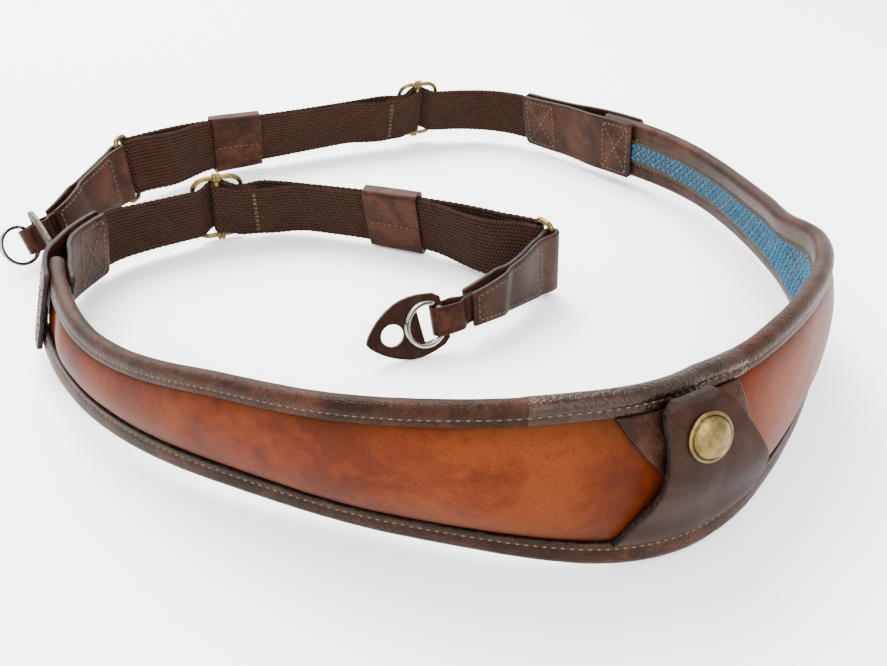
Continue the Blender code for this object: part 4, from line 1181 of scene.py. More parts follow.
def weave_tree() -> bpy.types.NodeTree:
    """Tree: raises a band's ribs and picks from its own along and across places."""

    def draw(pen: NodePen, given: bpy.types.Node) -> bpy.types.NodeSocket:
        """Adds the weave's nodes."""
        spot = pen.add("GeometryNodeInputNamedAttribute", {"Name": "band"}, data_type="FLOAT_VECTOR")
        parts = pen.add("ShaderNodeSeparateXYZ", {0: spot.outputs[0]})
        across = pen.math("DIVIDE", parts.outputs[1], given.outputs["Rib"])
        arch = pen.math("ABSOLUTE", pen.math("SINE", pen.math("MULTIPLY", across, math.pi)))
        along = pen.math("ADD", pen.math("DIVIDE", parts.outputs[0], given.outputs["Pick"]),
                         pen.math("MULTIPLY", pen.math("FLOOR", across), 0.5))
        pick = pen.math("ABSOLUTE", pen.math("SINE", pen.math("MULTIPLY", along, math.pi)))
        rise = pen.math("MULTIPLY", arch, pen.math("ADD", 0.65, pen.math("MULTIPLY", pick, 0.35)))
        amount = pen.math("MULTIPLY", pen.math("MULTIPLY", rise, given.outputs["Depth"]), parts.outputs[2])
        normal = pen.add("GeometryNodeInputNormal")
        offset = pen.add("ShaderNodeVectorMath", {0: normal.outputs[0], "Scale": amount}, operation="SCALE")
        moved_points = pen.add("GeometryNodeSetPosition", {"Geometry": given.outputs["Geometry"],
                                                           "Offset": offset.outputs[0]})
        return moved_points.outputs[0]

    inputs = (("Rib", "Float", 0.00156), ("Pick", "Float", 0.0013), ("Depth", "Float", 0.0004))
    return geometry_tree("raised_weave", inputs, draw)


def run_tree(obj: bpy.types.Object, tree: bpy.types.NodeTree, values: dict[str, object]) -> bpy.types.Object:
    """Runs a geometry tree on an object and keeps the result as a plain mesh.

    Args:
        obj: the object.
        tree: the tree.
        values: its inputs by name.

    Returns:
        The plain piece.
    """
    modifier = obj.modifiers.new("shape", "NODES")
    modifier.node_group = tree
    for item in tree.interface.items_tree:
        if item.item_type == "SOCKET" and item.in_out == "INPUT" and item.name in values:
            modifier[item.identifier] = values[item.name]
    return settle(obj)


class Sewing:
    """Collects thread stitches and the needle holes between them."""

    probe = 0.001
    hole_height = 0.00022
    hole_sink = 0.00002

    def __init__(self) -> None:
        """Starts with no stitches."""
        self.centres: list[np.ndarray] = []
        self.along: list[np.ndarray] = []
        self.out: list[np.ndarray] = []
        self.reach: list[np.ndarray] = []
        self.half_pitch: list[np.ndarray] = []

    def row(self, path: np.ndarray, out: np.ndarray, pitch: float, share: float = 0.56) -> None:
        """Adds a row of stitches.

        Args:
            path: close points of the row on the surface.
            out: the surface's outward direction at those points.
            pitch: distance from stitch to stitch.
            share: share of the pitch that each stitch covers.
        """
        lengths = run_along(path)
        count = max(1, int(lengths[-1] / pitch))
        at = (np.arange(count) + 0.5) * lengths[-1] / count
        gap = lengths[-1] / count * 0.3

        def read(values: np.ndarray, places: np.ndarray) -> np.ndarray:
            """Values at distances along the row."""
            return np.stack([np.interp(places, lengths, values[:, k]) for k in range(3)], -1)

        self.centres.append(read(path, at))
        self.along.append(unit(read(path, at + gap) - read(path, at - gap)))
        self.out.append(unit(read(out, at)))
        self.reach.append(np.full(count, pitch * share))
        self.half_pitch.append(np.full(count, lengths[-1] / count / 2))

    def on_face(self, place: Callable[..., np.ndarray], s: np.ndarray, n: float | np.ndarray, v: np.ndarray,
                sign: float, pitch: float) -> None:
        """Adds a row of stitches along places in strap coordinates.

        Args:
            place: gives world points from s, n and v.
            s: distances along the strap.
            n: the face's distances outward.
            v: heights across the strap.
            sign: the face's outward sign.
            pitch: distance from stitch to stitch.
        """
        path = place(s, n, v)
        self.row(path, unit(place(s, n + sign * self.probe, v) - path), pitch)

    def threads(self, name: str, finish: Finish, width: float, height: float, lift: float, sides: int = 8,
                rings: int = 5, turn: float = 0.12) -> bpy.types.Object:
        """The threads as one mesh."""
        return self.laid(name, finish, width, height, turn, sides, rings, lift, None)

    def holes(self, name: str, width: float) -> bpy.types.Object:
        """The needle holes as one mesh of dark sunk dots of painted shade, one at each end of a stitch."""
        return self.laid(name, HOLE, width, self.hole_height, 0.0, 8, 4, -self.hole_sink, width * 1.5)

    def laid(self, name: str, finish: Finish, width: float, height: float, turn: float, sides: int, rings: int,
             lift: float, hole: float | None) -> bpy.types.Object:
        """Points with directions, run through the thread tree."""
        centres, along, out, reach = (np.concatenate(a) for a in (self.centres, self.along, self.out, self.reach))
        centres = centres + out * lift
        if hole is not None:
            centres = centres + along * np.concatenate(self.half_pitch)[:, None]
            reach = np.full(len(reach), hole)
        dots = new_mesh(name, centres, [])
        note_points(dots, "along", along, vectors=True)
        note_points(dots, "out", out, vectors=True)
        note_points(dots, "reach", reach)
        return run_tree(dots, thread_tree(), {
            "Width": width, "Height": height, "Turn": turn, "Sides": sides, "Rings": rings, "Seed": 4,
            "Material": finish.material(),
        })


@dataclass
class NeckPad:
    """Padded panel with its bindings, lining, embroidery and stitching."""

    layout: Layout
    step: float = 0.0022
    stitch_pitch: float = 0.0022
    stitch_inset: float = 0.0019
    inner_row: float = 0.0074
    dip: float = 0.00034
    motif: float = 0.0066
    motif_row: float = 0.0058
    leaf_angle: float = 24.0
    leaf_reach: float = 0.0019
    knot: tuple[tuple[float, float], ...] = ((-0.00085, 0.0012), (0.0, 0.0026), (0.00085, 0.0012))
    patch: tuple[float, float] = (-0.046, 0.0135)
    patch_rise: float = 0.00028
    panel_lap: float = 0.0012
    # Reach of the painted shade along the panel's top and bottom edges, and the painted flap shadow's middle, half
    # length and fade.
    shade_edge_reach: float = 0.0042
    flap_shadow: tuple[float, float, float] = (-0.010, 0.017, 0.006)

    def stations(self) -> np.ndarray:
        """Places along the whole pad, tucked ends included."""
        low = -(SIZE.pad_half[Side.LEFT] + SIZE.pad_tuck)
        return steps(low, SIZE.pad_half[Side.RIGHT] + SIZE.pad_tuck, self.step)

    def panel(self) -> bpy.types.Object:
        """The crowned tan panel as one closed body, with a per-point mask of painted shade along its edges, beside
        the flap and on its hidden back.
        """
        s = self.stations()[:, None]
        width = pad_width(s)
        low, high = SIZE.bottom_flange - self.panel_lap, width - SIZE.top_flange + self.panel_lap
        t = (1 - np.cos(np.linspace(0, math.pi, 27)))[None] / 2
        v = low + (high - low) * t
        n = pad_crown(s, v) + ripple(s, v, 3, 0.09, 0.00022) * np.sin(math.pi * t) + ripple(s, v, 8, 0.03, 0.00007)
        inset = 0.002
        back_v = (high - inset) + (low + inset - high + inset) * np.linspace(0, 1, 9)[None]
        back_n = np.full(back_v.shape, -(SIZE.roll / 2 - SIZE.lining - SIZE.fit))
        points = self.layout.pad_place(s, np.concatenate([n, back_n], 1), np.concatenate([v, back_v], 1))
        uv = np.stack(np.broadcast_arrays(s, np.concatenate([v, back_v], 1)), -1)
        panel = new_mesh("pad_panel", points, capped_grid(*points.shape[:2]), uv, (TAN,))
        # Painted shade mask: darker along the panel's top and bottom edges and in a painted shadow beside the flap;
        # the hidden back is fully darkened.
        edge = np.exp(-(np.minimum(v - low, high - v) / self.shade_edge_reach) ** 1.3)
        middle, half, fade = self.flap_shadow
        flap = np.exp(-(np.clip(np.abs(s - middle) - half, 0, None) / fade) ** 2) * 0.45
        note_points(panel, "painted_shade", np.concatenate([np.clip(edge + flap, 0, 1), np.ones(back_v.shape)], 1))
        return face_out(panel)

    def binding_profile(self, flange: float) -> np.ndarray:
        """Middle line of a binding's leather as (n, v), from the outer flange round the roll to the inner one."""
        half = SIZE.roll / 2
        middle = half - SIZE.binding / 2
        points = []
        for v in np.linspace(flange, half, 9)[:-1]:
            points.append((middle - self.dip * hump(v - flange + self.stitch_inset, 0.0008), v))
        for a in np.linspace(0, math.pi, 13):
            points.append((middle * math.cos(a), half - middle * math.sin(a)))
        for v in np.linspace(half, SIZE.inner_flange, 10)[1:]:
            points.append((-middle + self.dip * hump(v - self.inner_row, 0.0009), v))
        return np.array(points)

    def binding(self, top: bool) -> bpy.types.Object:
        """One rolled binding."""
        flange = SIZE.top_flange if top else SIZE.bottom_flange
        profile = self.binding_profile(flange)
        s = self.stations()[:, None]
        n, v = profile[None, :, 0] + 0 * s, profile[None, :, 1] + 0 * s
        n = n + np.sign(n) * ripple(s, v, 11 if top else 12, 0.02, 0.00006)
        if top:
            rows = hump(v - flange + self.stitch_inset, 0.0013) + hump(v - self.inner_row, 0.0013)
            covered = (s > self.patch[0]) & (s < self.patch[1])
            n = n + np.sign(n) * self.patch_rise * np.clip(1 - rows, 0, 1) * covered
            v = pad_width(s) - v
        points = self.layout.pad_place(s, n, v)
        uv = np.stack(np.broadcast_arrays(s, run_along(profile)[None, :]), -1)
        roll = hide_sheet("binding_roll_" + ("top" if top else "bottom"), points, uv, SIZE.binding, TRIM)
        if top:
            self.cover(roll.data)
        return roll

    def cover(self, mesh: bpy.types.Mesh) -> None:
        """Gives the patch in the middle of the top binding its darker, pebbled leather.

        Args:
            mesh: the binding's mesh, whose UV map runs along the strap in metres.
        """
        mesh.materials.append(GLOSSY.material())
        along = np.empty(len(mesh.loops) * 2, np.float32)
        mesh.uv_layers[0].data.foreach_get("uv", along)
        for face in mesh.polygons:
            if self.patch[0] < along[2 * face.loop_start] < self.patch[1]:
                face.material_index = len(mesh.materials) - 1

    @property
    def cloth_edge(self) -> float:
        """Height of the cloth's edge, just under the binding's inner flange."""
        return SIZE.inner_flange + SIZE.fit - 0.001

    def cloth(self) -> bpy.types.Object:
        """The lining's dark backing cloth."""
        s = self.stations()[:, None]
        v = self.cloth_edge + (pad_width(s) - 2 * self.cloth_edge) * np.linspace(0, 1, 15)[None]
        n = np.full(v.shape, -(SIZE.roll / 2 - SIZE.lining / 2)) + ripple(s, v, 21, 0.02, 0.00012)
        uv = np.stack(np.broadcast_arrays(s, v), -1)
        return hide_sheet("lining_cloth", self.layout.pad_place(s, n, v), uv, SIZE.lining, BACKING, BACKING, 0.0)

    def embroidery(self) -> bpy.types.Object:
        """Lattice of satin-stitched diamonds with a filled knot in each, on the lining's face."""
        level = -(SIZE.roll / 2 + 0.00006)
        margin = SIZE.inner_flange + 0.0006
        ends = self.stations()
        wide, tall = self.motif / 2, self.motif_row / 2
        marks = []
        for s0 in np.arange(ends[0] + wide, ends[-1], self.motif):
            middle = float(pad_width(s0)) / 2
            rows = int(middle / self.motif_row) + 1
            for v0 in middle + self.motif_row * np.arange(-rows, rows + 1):
                for ds, dv in ((1, 1), (1, -1), (-1, 1), (-1, -1)):
                    for share in (0.16, 0.5, 0.84):
                        spot = (s0 + ds * wide * share, v0 + dv * tall * (1 - share))
                        marks.append((*spot, -ds * dv * self.leaf_angle, self.leaf_reach))
                for ds, dv in ((0.0, 0.0), (wide, tall)):
                    for rise, reach in self.knot:
                        marks.append((s0 + ds, v0 + dv + rise, 0.0, reach))
        spots = np.array(marks)
        inside = (spots[:, 1] > margin) & (spots[:, 1] < pad_width(spots[:, 0]) - margin) & (spots[:, 0] < ends[-1])
        s, v, angle, reach = spots[inside].T
        angle = np.radians(angle)
        at = self.layout.pad_place(s, level, v)
        tip = self.layout.pad_place(s + np.cos(angle) * 0.0005, level, v + np.sin(angle) * 0.0005)
        outer = self.layout.pad_place(s, level - 0.001, v)
        sewing = Sewing()
        sewing.centres, sewing.along, sewing.out, sewing.reach = [at], [unit(tip - at)], [unit(outer - at)], [reach]
        return sewing.threads("lining_embroidery", TURQUOISE, 0.00066, 0.0006, 0.0, sides=5, rings=3, turn=0.06)

    def sew(self, sewing: Sewing) -> None:
        """Adds the rows of stitches along both bindings, on both faces."""
        s = steps(-SIZE.pad_half[Side.LEFT] + 0.001, SIZE.pad_half[Side.RIGHT] - 0.001, 0.0008)
        for top, flange in ((True, SIZE.top_flange), (False, SIZE.bottom_flange)):
            for line, sign in ((flange - self.stitch_inset, 1.0), (self.inner_row, -1.0)):
                n = sign * (SIZE.roll / 2 - self.dip)
                v = pad_width(s) - line if top else np.full(s.shape, line)
                sewing.on_face(self.layout.pad_place, s, n, v, sign, self.stitch_pitch)

    def build(self) -> None:
        """Builds and places every piece of the pad."""
        put(self.panel(), "pad_leather", "pad_body")
        put(self.binding(True), "trim_leather", "binding_top")
        put(self.binding(False), "trim_leather", "binding_bottom")
        cloth = put(self.cloth(), "lining_cloth", "lining")
        embroidery = put(self.embroidery(), "lining_cloth")
        s = self.stations()
        wide = pad_width(s) - 2 * self.cloth_edge
        sewing = Sewing()
        self.sew(sewing)
        put(sewing.threads("pad_stitches", KHAKI, 0.00050, 0.00042, 0.00006), "trim_leather")
        put(sewing.holes("pad_needle_holes", 0.00062), "trim_leather")


@dataclass
class CentreFlap:
    """Under band, flap and snap in the pad's middle."""

    layout: Layout

    def lay(self, sides: Sequence[tuple[float, float, float]], shares: np.ndarray, cols: int) -> np.ndarray:
        """Places along the strap for a grid with slanting sides."""
        left = through([(r[0], r[1]) for r in sides], shares)[:, None]
        right = through([(r[0], r[2]) for r in sides], shares)[:, None]
        return left + (right - left) * np.linspace(0, 1, cols)[None]

    def band(self) -> bpy.types.Object:
        """The grained under band, tucked below the top binding."""
        shares = np.linspace(0, 1, 22)
        s = self.lay(BAND_SIDES, shares, 26)
        v = pad_width(s) - SIZE.top_flange - SIZE.fit - SIZE.band_height * shares[:, None]
        n = pad_crown(s, v) + SIZE.band_gap + SIZE.band / 2
        return hide_sheet("under_band", self.layout.pad_place(s, n, v), np.stack([s, v], -1), SIZE.band, TRIM)

    def flap(self) -> bpy.types.Object:
        """The smooth flap that comes up from the bottom binding and stands off the band."""
        shares = np.concatenate([np.linspace(0, 0.85, 26), np.linspace(0.87, 1.0, 12)])
        s = self.lay(FLAP_SIDES, shares, 28)
        v = SIZE.bottom_flange + SIZE.fit + SIZE.flap_height * shares[:, None] + 0 * s
        rise = ease(((0.12, 0.0), (0.55, 1.0)), shares)[:, None]
        n = pad_crown(s, v) + SIZE.band_gap + SIZE.flap / 2 + rise * (SIZE.band + SIZE.fit + SIZE.flap_standoff)
        return hide_sheet("front_flap", self.layout.pad_place(s, n, v), np.stack([s, v], -1), SIZE.flap, SMOOTH,
                          round_edge=0.0006)

    def snap_frame(self) -> Matrix:
        """Frame of the snap on the band's outer face: Z points outward, square to the band's slope."""
        reach = SIZE.snap_post / 2
        v = SIZE.snap_up + reach * np.array([-1.0, 0.0, 1.0, 0.0])
        n = pad_crown(SIZE.snap_along, v) + SIZE.band_gap + SIZE.band + reach * np.array([0.0, 0.0, 0.0, 1.0])
        low, spot, high, outer = (Vector(p) for p in self.layout.pad_place(SIZE.snap_along, n, v))
        up = (high - low).normalized()
        axis = outer - spot
        axis = (axis - up * axis.dot(up)).normalized()
        made = Matrix((up.cross(axis), up, axis)).transposed().to_4x4()
        made.translation = spot
        return made

    def cap(self) -> bpy.types.Object:
        """Domed cap with a rolled rim."""
        radius, wire, base = SIZE.snap / 2, 0.0005, 0.0006
        face = SIZE.fit + SIZE.flap_standoff + SIZE.flap + SIZE.fit + 0.0003
        profile = [(0.0, SIZE.snap_dome)]
        for a in np.linspace(0, math.pi / 2, 15)[1:]:
            profile.append(((radius - 2 * wire) * math.sin(a), base + (SIZE.snap_dome - base) * math.cos(a) ** 0.9))
        for a in np.radians(np.linspace(150, -90, 13)):
            profile.append((radius - wire + wire * math.cos(a), wire + wire * math.sin(a)))
        profile.append((0.0, 0.0))
        cap = turned("snap_cap_domed", profile, BRASS, 64)
        return moved(cap, self.snap_frame() @ Matrix.Translation((0.0, 0.0, face)))

    def post(self) -> bpy.types.Object:
        """Short post of the snap between flap and band."""
        radius, height = SIZE.snap_post / 2, SIZE.flap_standoff - 2.6 * SIZE.fit
        waist = radius - 0.0005
        profile = [(0.0, 0.0), (radius, 0.0), (radius, height * 0.25), (waist, height * 0.4), (waist, height * 0.6),
                   (radius, height * 0.75), (radius, height), (0.0, height)]
        post = turned("snap_post_turned", profile, BRASS, 32)
        return moved(post, self.snap_frame() @ Matrix.Translation((0.0, 0.0, 1.4 * SIZE.fit)))

    def build(self) -> None:
        """Builds and places every piece of the centre."""
        put(self.band(), "flap_leather", "band_upper")
        put(self.flap(), "flap_leather", "band_flap")
        put(self.cap(), "antique_brass", "snap_cap")
        put(self.post(), "antique_brass", "snap_post")


@dataclass
class Strand:
    """Tabs, webbing, keeper and slide of one side."""

    layout: Layout
    side: Side
    sewing: Sewing = field(default_factory=Sewing)
    pitch: float = 0.0023
    ribs: int = 16
    pick: float = 0.0013
    depth: float = 0.00040
    seam_at: float = 0.46
    seam_depth: float = 0.0005
    box_inset: float = 0.0022
    boxes: tuple[tuple[float, float], ...] = ((0.0025, 0.0165), (0.0190, 0.0028))
    bar_cut: float = 0.0012

    @property
    def route(self) -> Route:
        """The side's route."""
        return self.layout.routes[self.side]

    @property
    def marks(self) -> dict[str, float]:
        """Ends of the side's stretches."""
        return self.layout.marks[self.side]

    def tab_n(self, along: np.ndarray, sign: float) -> np.ndarray:
        """Level of a tab layer's middle."""
        pad_face = SIZE.roll / 2 + SIZE.fit + SIZE.tab_leather / 2
        web_face = SIZE.web_thick / 2 + SIZE.fit + SIZE.tab_leather / 2
        table = ((SIZE.pad_tuck + 0.001, pad_face), (SIZE.tab_length - SIZE.web_tuck - 0.001, web_face))
        return sign * ease(table, along)

    def tab(self, layer: str, sign: float) -> bpy.types.Object:
        """One leather layer between pad and webbing."""
        along = steps(0.0, SIZE.tab_length, 0.0015)[:, None]
        share = along / SIZE.tab_length
        width = SIZE.tab_wide + (SIZE.tab_narrow - SIZE.tab_wide) * share
        low = (SIZE.pad_narrow - SIZE.tab_wide) / 2 * (1.0 - share)
        t = np.linspace(0, 1, 17)[None]
        trim = 0.0012 * (np.minimum(share, 1 - share) < 1e-6)
        v = low + trim + (width - 2 * trim) * t
        n = self.tab_n(along, sign) + ripple(along, v, 31, 0.03, 0.00012)
        points = self.route.place(SIZE.pad_half[self.side] + along, n, v)
        uv = np.stack(np.broadcast_arrays(along, v), -1)
        return hide_sheet("leather_tab_%s_%s" % (layer, self.side.label), points, uv, SIZE.tab_leather, STRAP)

    def sew_line(self, start: tuple[float, float], end: tuple[float, float],
                 level: Callable[[np.ndarray], np.ndarray], base: float, sign: float) -> None:
        """Adds a straight row of stitches on a face.

        Args:
            start: its first place as (along, height).
            end: its last place.
            level: gives the face's n from the distance along.
            base: what is added to the distance to reach the route's own.
            sign: the face's outward sign.
        """
        t = np.linspace(0, 1, max(8, int(math.dist(start, end) / 0.0006)))
        along = start[0] + (end[0] - start[0]) * t
        v = start[1] + (end[1] - start[1]) * t
        self.sewing.on_face(self.route.place, base + along, level(along), v, sign, self.pitch)

    def sew_tabs(self) -> None:
        """Box and cross at the webbing's end, and a row by the pad's end, on both faces."""
        low, high = self.box_inset, SIZE.tab_narrow - self.box_inset
        (first, second), (third, last) = self.boxes
        boxes = ((first, second), (SIZE.tab_length - third, SIZE.tab_length - last))
        for sign in (1.0, -1.0):
            def level(along: np.ndarray, sign: float = sign) -> np.ndarray:
                """Face of the tab."""
                return self.tab_n(along, sign) + sign * SIZE.tab_leather / 2

            for a, b in boxes:
                lines = [((a, low), (b, low)), ((b, low), (b, high)), ((b, high), (a, high)), ((a, high), (a, low))]
                lines += [((a, low), (b, high)), ((a, high), (b, low))]
                for start, end in lines:
                    self.sew_line(start, end, level, SIZE.pad_half[self.side], sign)

    def web_path(self) -> np.ndarray:
        """Path of the webbing in (s, n): out through slide and keeper, round the loop's bar and back."""
        marks = self.marks
        tab_end, slide, keeper, loop = marks["tab"], marks["slide"], marks["keeper"], marks["loop"]
        pitch = SIZE.web_thick + SIZE.fit
        rail = SIZE.slide_wire / 2 + SIZE.fit + SIZE.web_thick / 2
        wrap = SIZE.loop_wire / 2 + SIZE.fit + SIZE.web_thick / 2
        reach = SIZE.slide_length / 2 - SIZE.slide_wire / 2
        tail_end = slide + SIZE.web_tail
        past = keeper + SIZE.keeper_length / 2
        out = ((tab_end, 0.0), (slide - reach, -rail), (slide, rail + pitch), (slide + reach, -rail),
               (slide + reach + 0.012, 0.0), (loop - 0.018, 0.0), (loop, wrap))
        back = ((slide, -rail), (slide + reach, -rail - 2 * pitch), (tail_end, -rail - 2 * pitch),
                (tail_end + 0.022, -pitch), (past, -pitch), (past + 0.62 * (loop - past), -pitch - SIZE.web_bow),
                (loop, -wrap))
        tail = ((slide, rail), (slide + reach, -rail - pitch), (tail_end, -rail - pitch))
        runs = []
        s = steps(tab_end - SIZE.web_tuck, loop, 0.00065)
        runs.append(np.stack([s, ease(out, s)], -1))
        a = np.linspace(math.pi / 2, -math.pi / 2, 11)[1:-1]
        runs.append(np.stack([loop + wrap * np.cos(a), wrap * np.sin(a)], -1))
        s = steps(loop, slide, 0.00065)
        runs.append(np.stack([s, ease(back, s)], -1))
        a = np.radians(np.linspace(270, 90, 9))[1:-1]
        runs.append(np.stack([slide + rail * np.cos(a), rail * np.sin(a)], -1))
        s = steps(slide, tail_end, 0.00065)
        runs.append(np.stack([s, ease(tail, s)], -1))
        return np.concatenate(runs)

    def webbing(self) -> bpy.types.Object:
        """The folded strand as one closed woven band, with two rows of points to each pick and rib."""
        path = self.web_path()
        run = run_along(path)
        lengths = np.arange(0.0, run[-1], self.pick / 2)
        path = np.stack([np.interp(lengths, run, path[:, k]) for k in range(2)], -1)
        tangent = unit(np.gradient(path, axis=0))
        normal = np.stack([-tangent[:, 1], tangent[:, 0]], -1)
        cols = 2 * self.ribs + 1
        low = self.layout.web_foot()
        half = SIZE.web_thick / 2 - 0.00018
        edge = 0.00016 * np.cos(2 * math.pi * lengths / 0.0026)
        t = np.linspace(0, 1, cols)
        front = np.stack([np.tile(t, (len(path), 1)), np.ones((len(path), cols))], -1)
        back = np.stack([np.tile(t[::-1], (len(path), 1)), -np.ones((len(path), cols))], -1)
        loop = np.concatenate([front, back], 1)
        share, sign = loop[..., 0], loop[..., 1]
        fold = np.abs(share - 0.5) * 2
        round_off = np.sqrt(np.clip(1 - fold**16, 0.12, 1))
        v = low + SIZE.web * share + edge[:, None] * np.sign(share - 0.5) * (fold > 0.97)
        off = sign * half * round_off
        s = path[:, None, 0] + normal[:, None, 0] * off
        n = path[:, None, 1] + normal[:, None, 1] * off
        points = self.route.place(s, n, v)
        uv = np.stack([np.broadcast_to(lengths[:, None], share.shape), share * SIZE.web], -1)
        band = new_mesh("woven_strand_" + self.side.label, points, capped_grid(*points.shape[:2]), uv)
        face_out(band)
        note_points(band, "band", np.concatenate([uv, (fold < 0.99)[..., None] * 1.0], -1), vectors=True)
        values = {"Rib": SIZE.web / self.ribs, "Pick": self.pick, "Depth": self.depth, "Material": WOVEN.material()}
        return run_tree(band, weave_tree(), values)

    def keeper(self) -> bpy.types.Object:
        """Leather sleeve with a butt seam along its inner face."""
        grow = SIZE.keeper_leather / 2 + SIZE.fit
        high_n = SIZE.web_thick / 2 + grow
        low_n = -(SIZE.web_thick * 1.5 + SIZE.fit + grow)
        low_v = self.layout.web_foot() - grow
        high_v = self.layout.web_foot() + SIZE.web + grow
        centre = np.array([(high_n + low_n) / 2, (low_v + high_v) / 2])
        outline = centre + thicken_path(rounded_box((high_n - low_n) / 2, (high_v - low_v) / 2, 0.0011, 4), 0.0005)
        share = (outline[:, 1] - low_v) / (high_v - low_v)
        outline[:, 0] += self.seam_depth * hump(share - self.seam_at, 0.022) * (outline[:, 0] < low_n + 0.0002)
        keeper = self.marks["keeper"]
        s = steps(keeper - SIZE.keeper_length / 2, keeper + SIZE.keeper_length / 2, 0.0012)[:, None]
        bulge = 0.0002 * np.sin((s - s[0, 0]) / SIZE.keeper_length * math.pi)
        n = outline[None, :, 0] * (1 + bulge / 0.002)
        v = outline[None, :, 1] + 0 * s
        uv = np.stack(np.broadcast_arrays(s, v), -1)
        piece = hide_sheet("leather_keeper_" + self.side.label, self.route.place(s + 0 * v, n, v), uv,
                           SIZE.keeper_leather, STRAP, closed=True)
        face = low_n - SIZE.keeper_leather / 2 + 0.00004
        seam_v = low_v + (high_v - low_v) * self.seam_at
        half = SIZE.keeper_length / 2 - 0.0015
        self.sew_line((-half, seam_v), (half, seam_v), lambda a: np.full(a.shape, face), keeper, -1.0)
        return piece

    def slide(self) -> tuple[bpy.types.Object, bpy.types.Object]:
        """Brass wire frame, and the centre bar with sleeves that hold the frame's rails."""
        radius = SIZE.slide_wire / 2
        under = SIZE.sleeve_wall + 1.5 * SIZE.fit
        rail = (SIZE.web + under + SIZE.slide_spare) / 2 + radius
        spot = self.layout.slide_matrix(self.side)
        outline = thicken_path(rounded_box(SIZE.slide_length / 2 - radius, rail, SIZE.slide_corner, 10), 0.002)
        path = np.stack([outline[:, 0], 0 * outline[:, 0], outline[:, 1]], -1)
        rim = sweep("slide_rim_" + self.side.label, path, circle(radius, 16), (0, 1, 0), BRASS)
        thin, end = radius * 0.98, rail - self.bar_cut
        parts = [turned("bar", [(0, -end), (thin, -end), (thin, end), (0, end)], BRASS, 20)]
        bore, half = radius + SIZE.fit / 2, SIZE.sleeve_length / 2
        for sign in (1.0, -1.0):
            profile = [(bore, half)]
            for x in np.linspace(half, -half, 15):
                lobe = abs(math.sin(x / half * math.pi)) ** 0.6
                profile.append((bore + SIZE.sleeve_wall * (0.45 + 0.55 * lobe), x))
            profile += [(bore, -half), (bore, half)]
            sleeve = turned("sleeve", profile, BRASS, 28)
            place = Matrix.Translation((0.0, 0.0, sign * rail)) @ Matrix.Rotation(math.pi / 2, 4, "Y")
            parts.append(moved(sleeve, place))
        whole = joined("slide_centre_bar_" + self.side.label, parts)
        return moved(rim, spot), moved(whole, spot)

    def sew_tail(self) -> None:
        """Row of stitches across the webbing that holds its tail, on both faces."""
        slide = self.marks["slide"]
        rail = SIZE.slide_wire / 2 + SIZE.fit + SIZE.web_thick / 2
        pitch = SIZE.web_thick + SIZE.fit
        face = -rail - 2 * pitch - SIZE.web_thick / 2 - 0.00004
        low = self.layout.web_foot()
        at = SIZE.web_tail - 0.0035
        for off in (0.0, 0.0009):
            self.sew_line((at + off, low + 0.002), (at + off, low + SIZE.web - 0.002),
                          lambda a: np.full(a.shape, face), slide, -1.0)

    def build(self) -> None:
        """Builds and places every piece of the strand."""
        end = self.side.label
        for layer, sign in (("outer", 1.0), ("inner", -1.0)):
            put(self.tab(layer, sign), "trim_leather", "tab_%s_%s" % (layer, end))
        put(self.webbing(), "webbing", "webbing_" + end)
        put(self.keeper(), "trim_leather", "keeper_" + end)
        rim, bar = self.slide()
        put(rim, "antique_brass", "slide_frame_" + end)
        put(bar, "antique_brass", "slide_bar_" + end)
        self.sew_tabs()
        self.sew_tail()


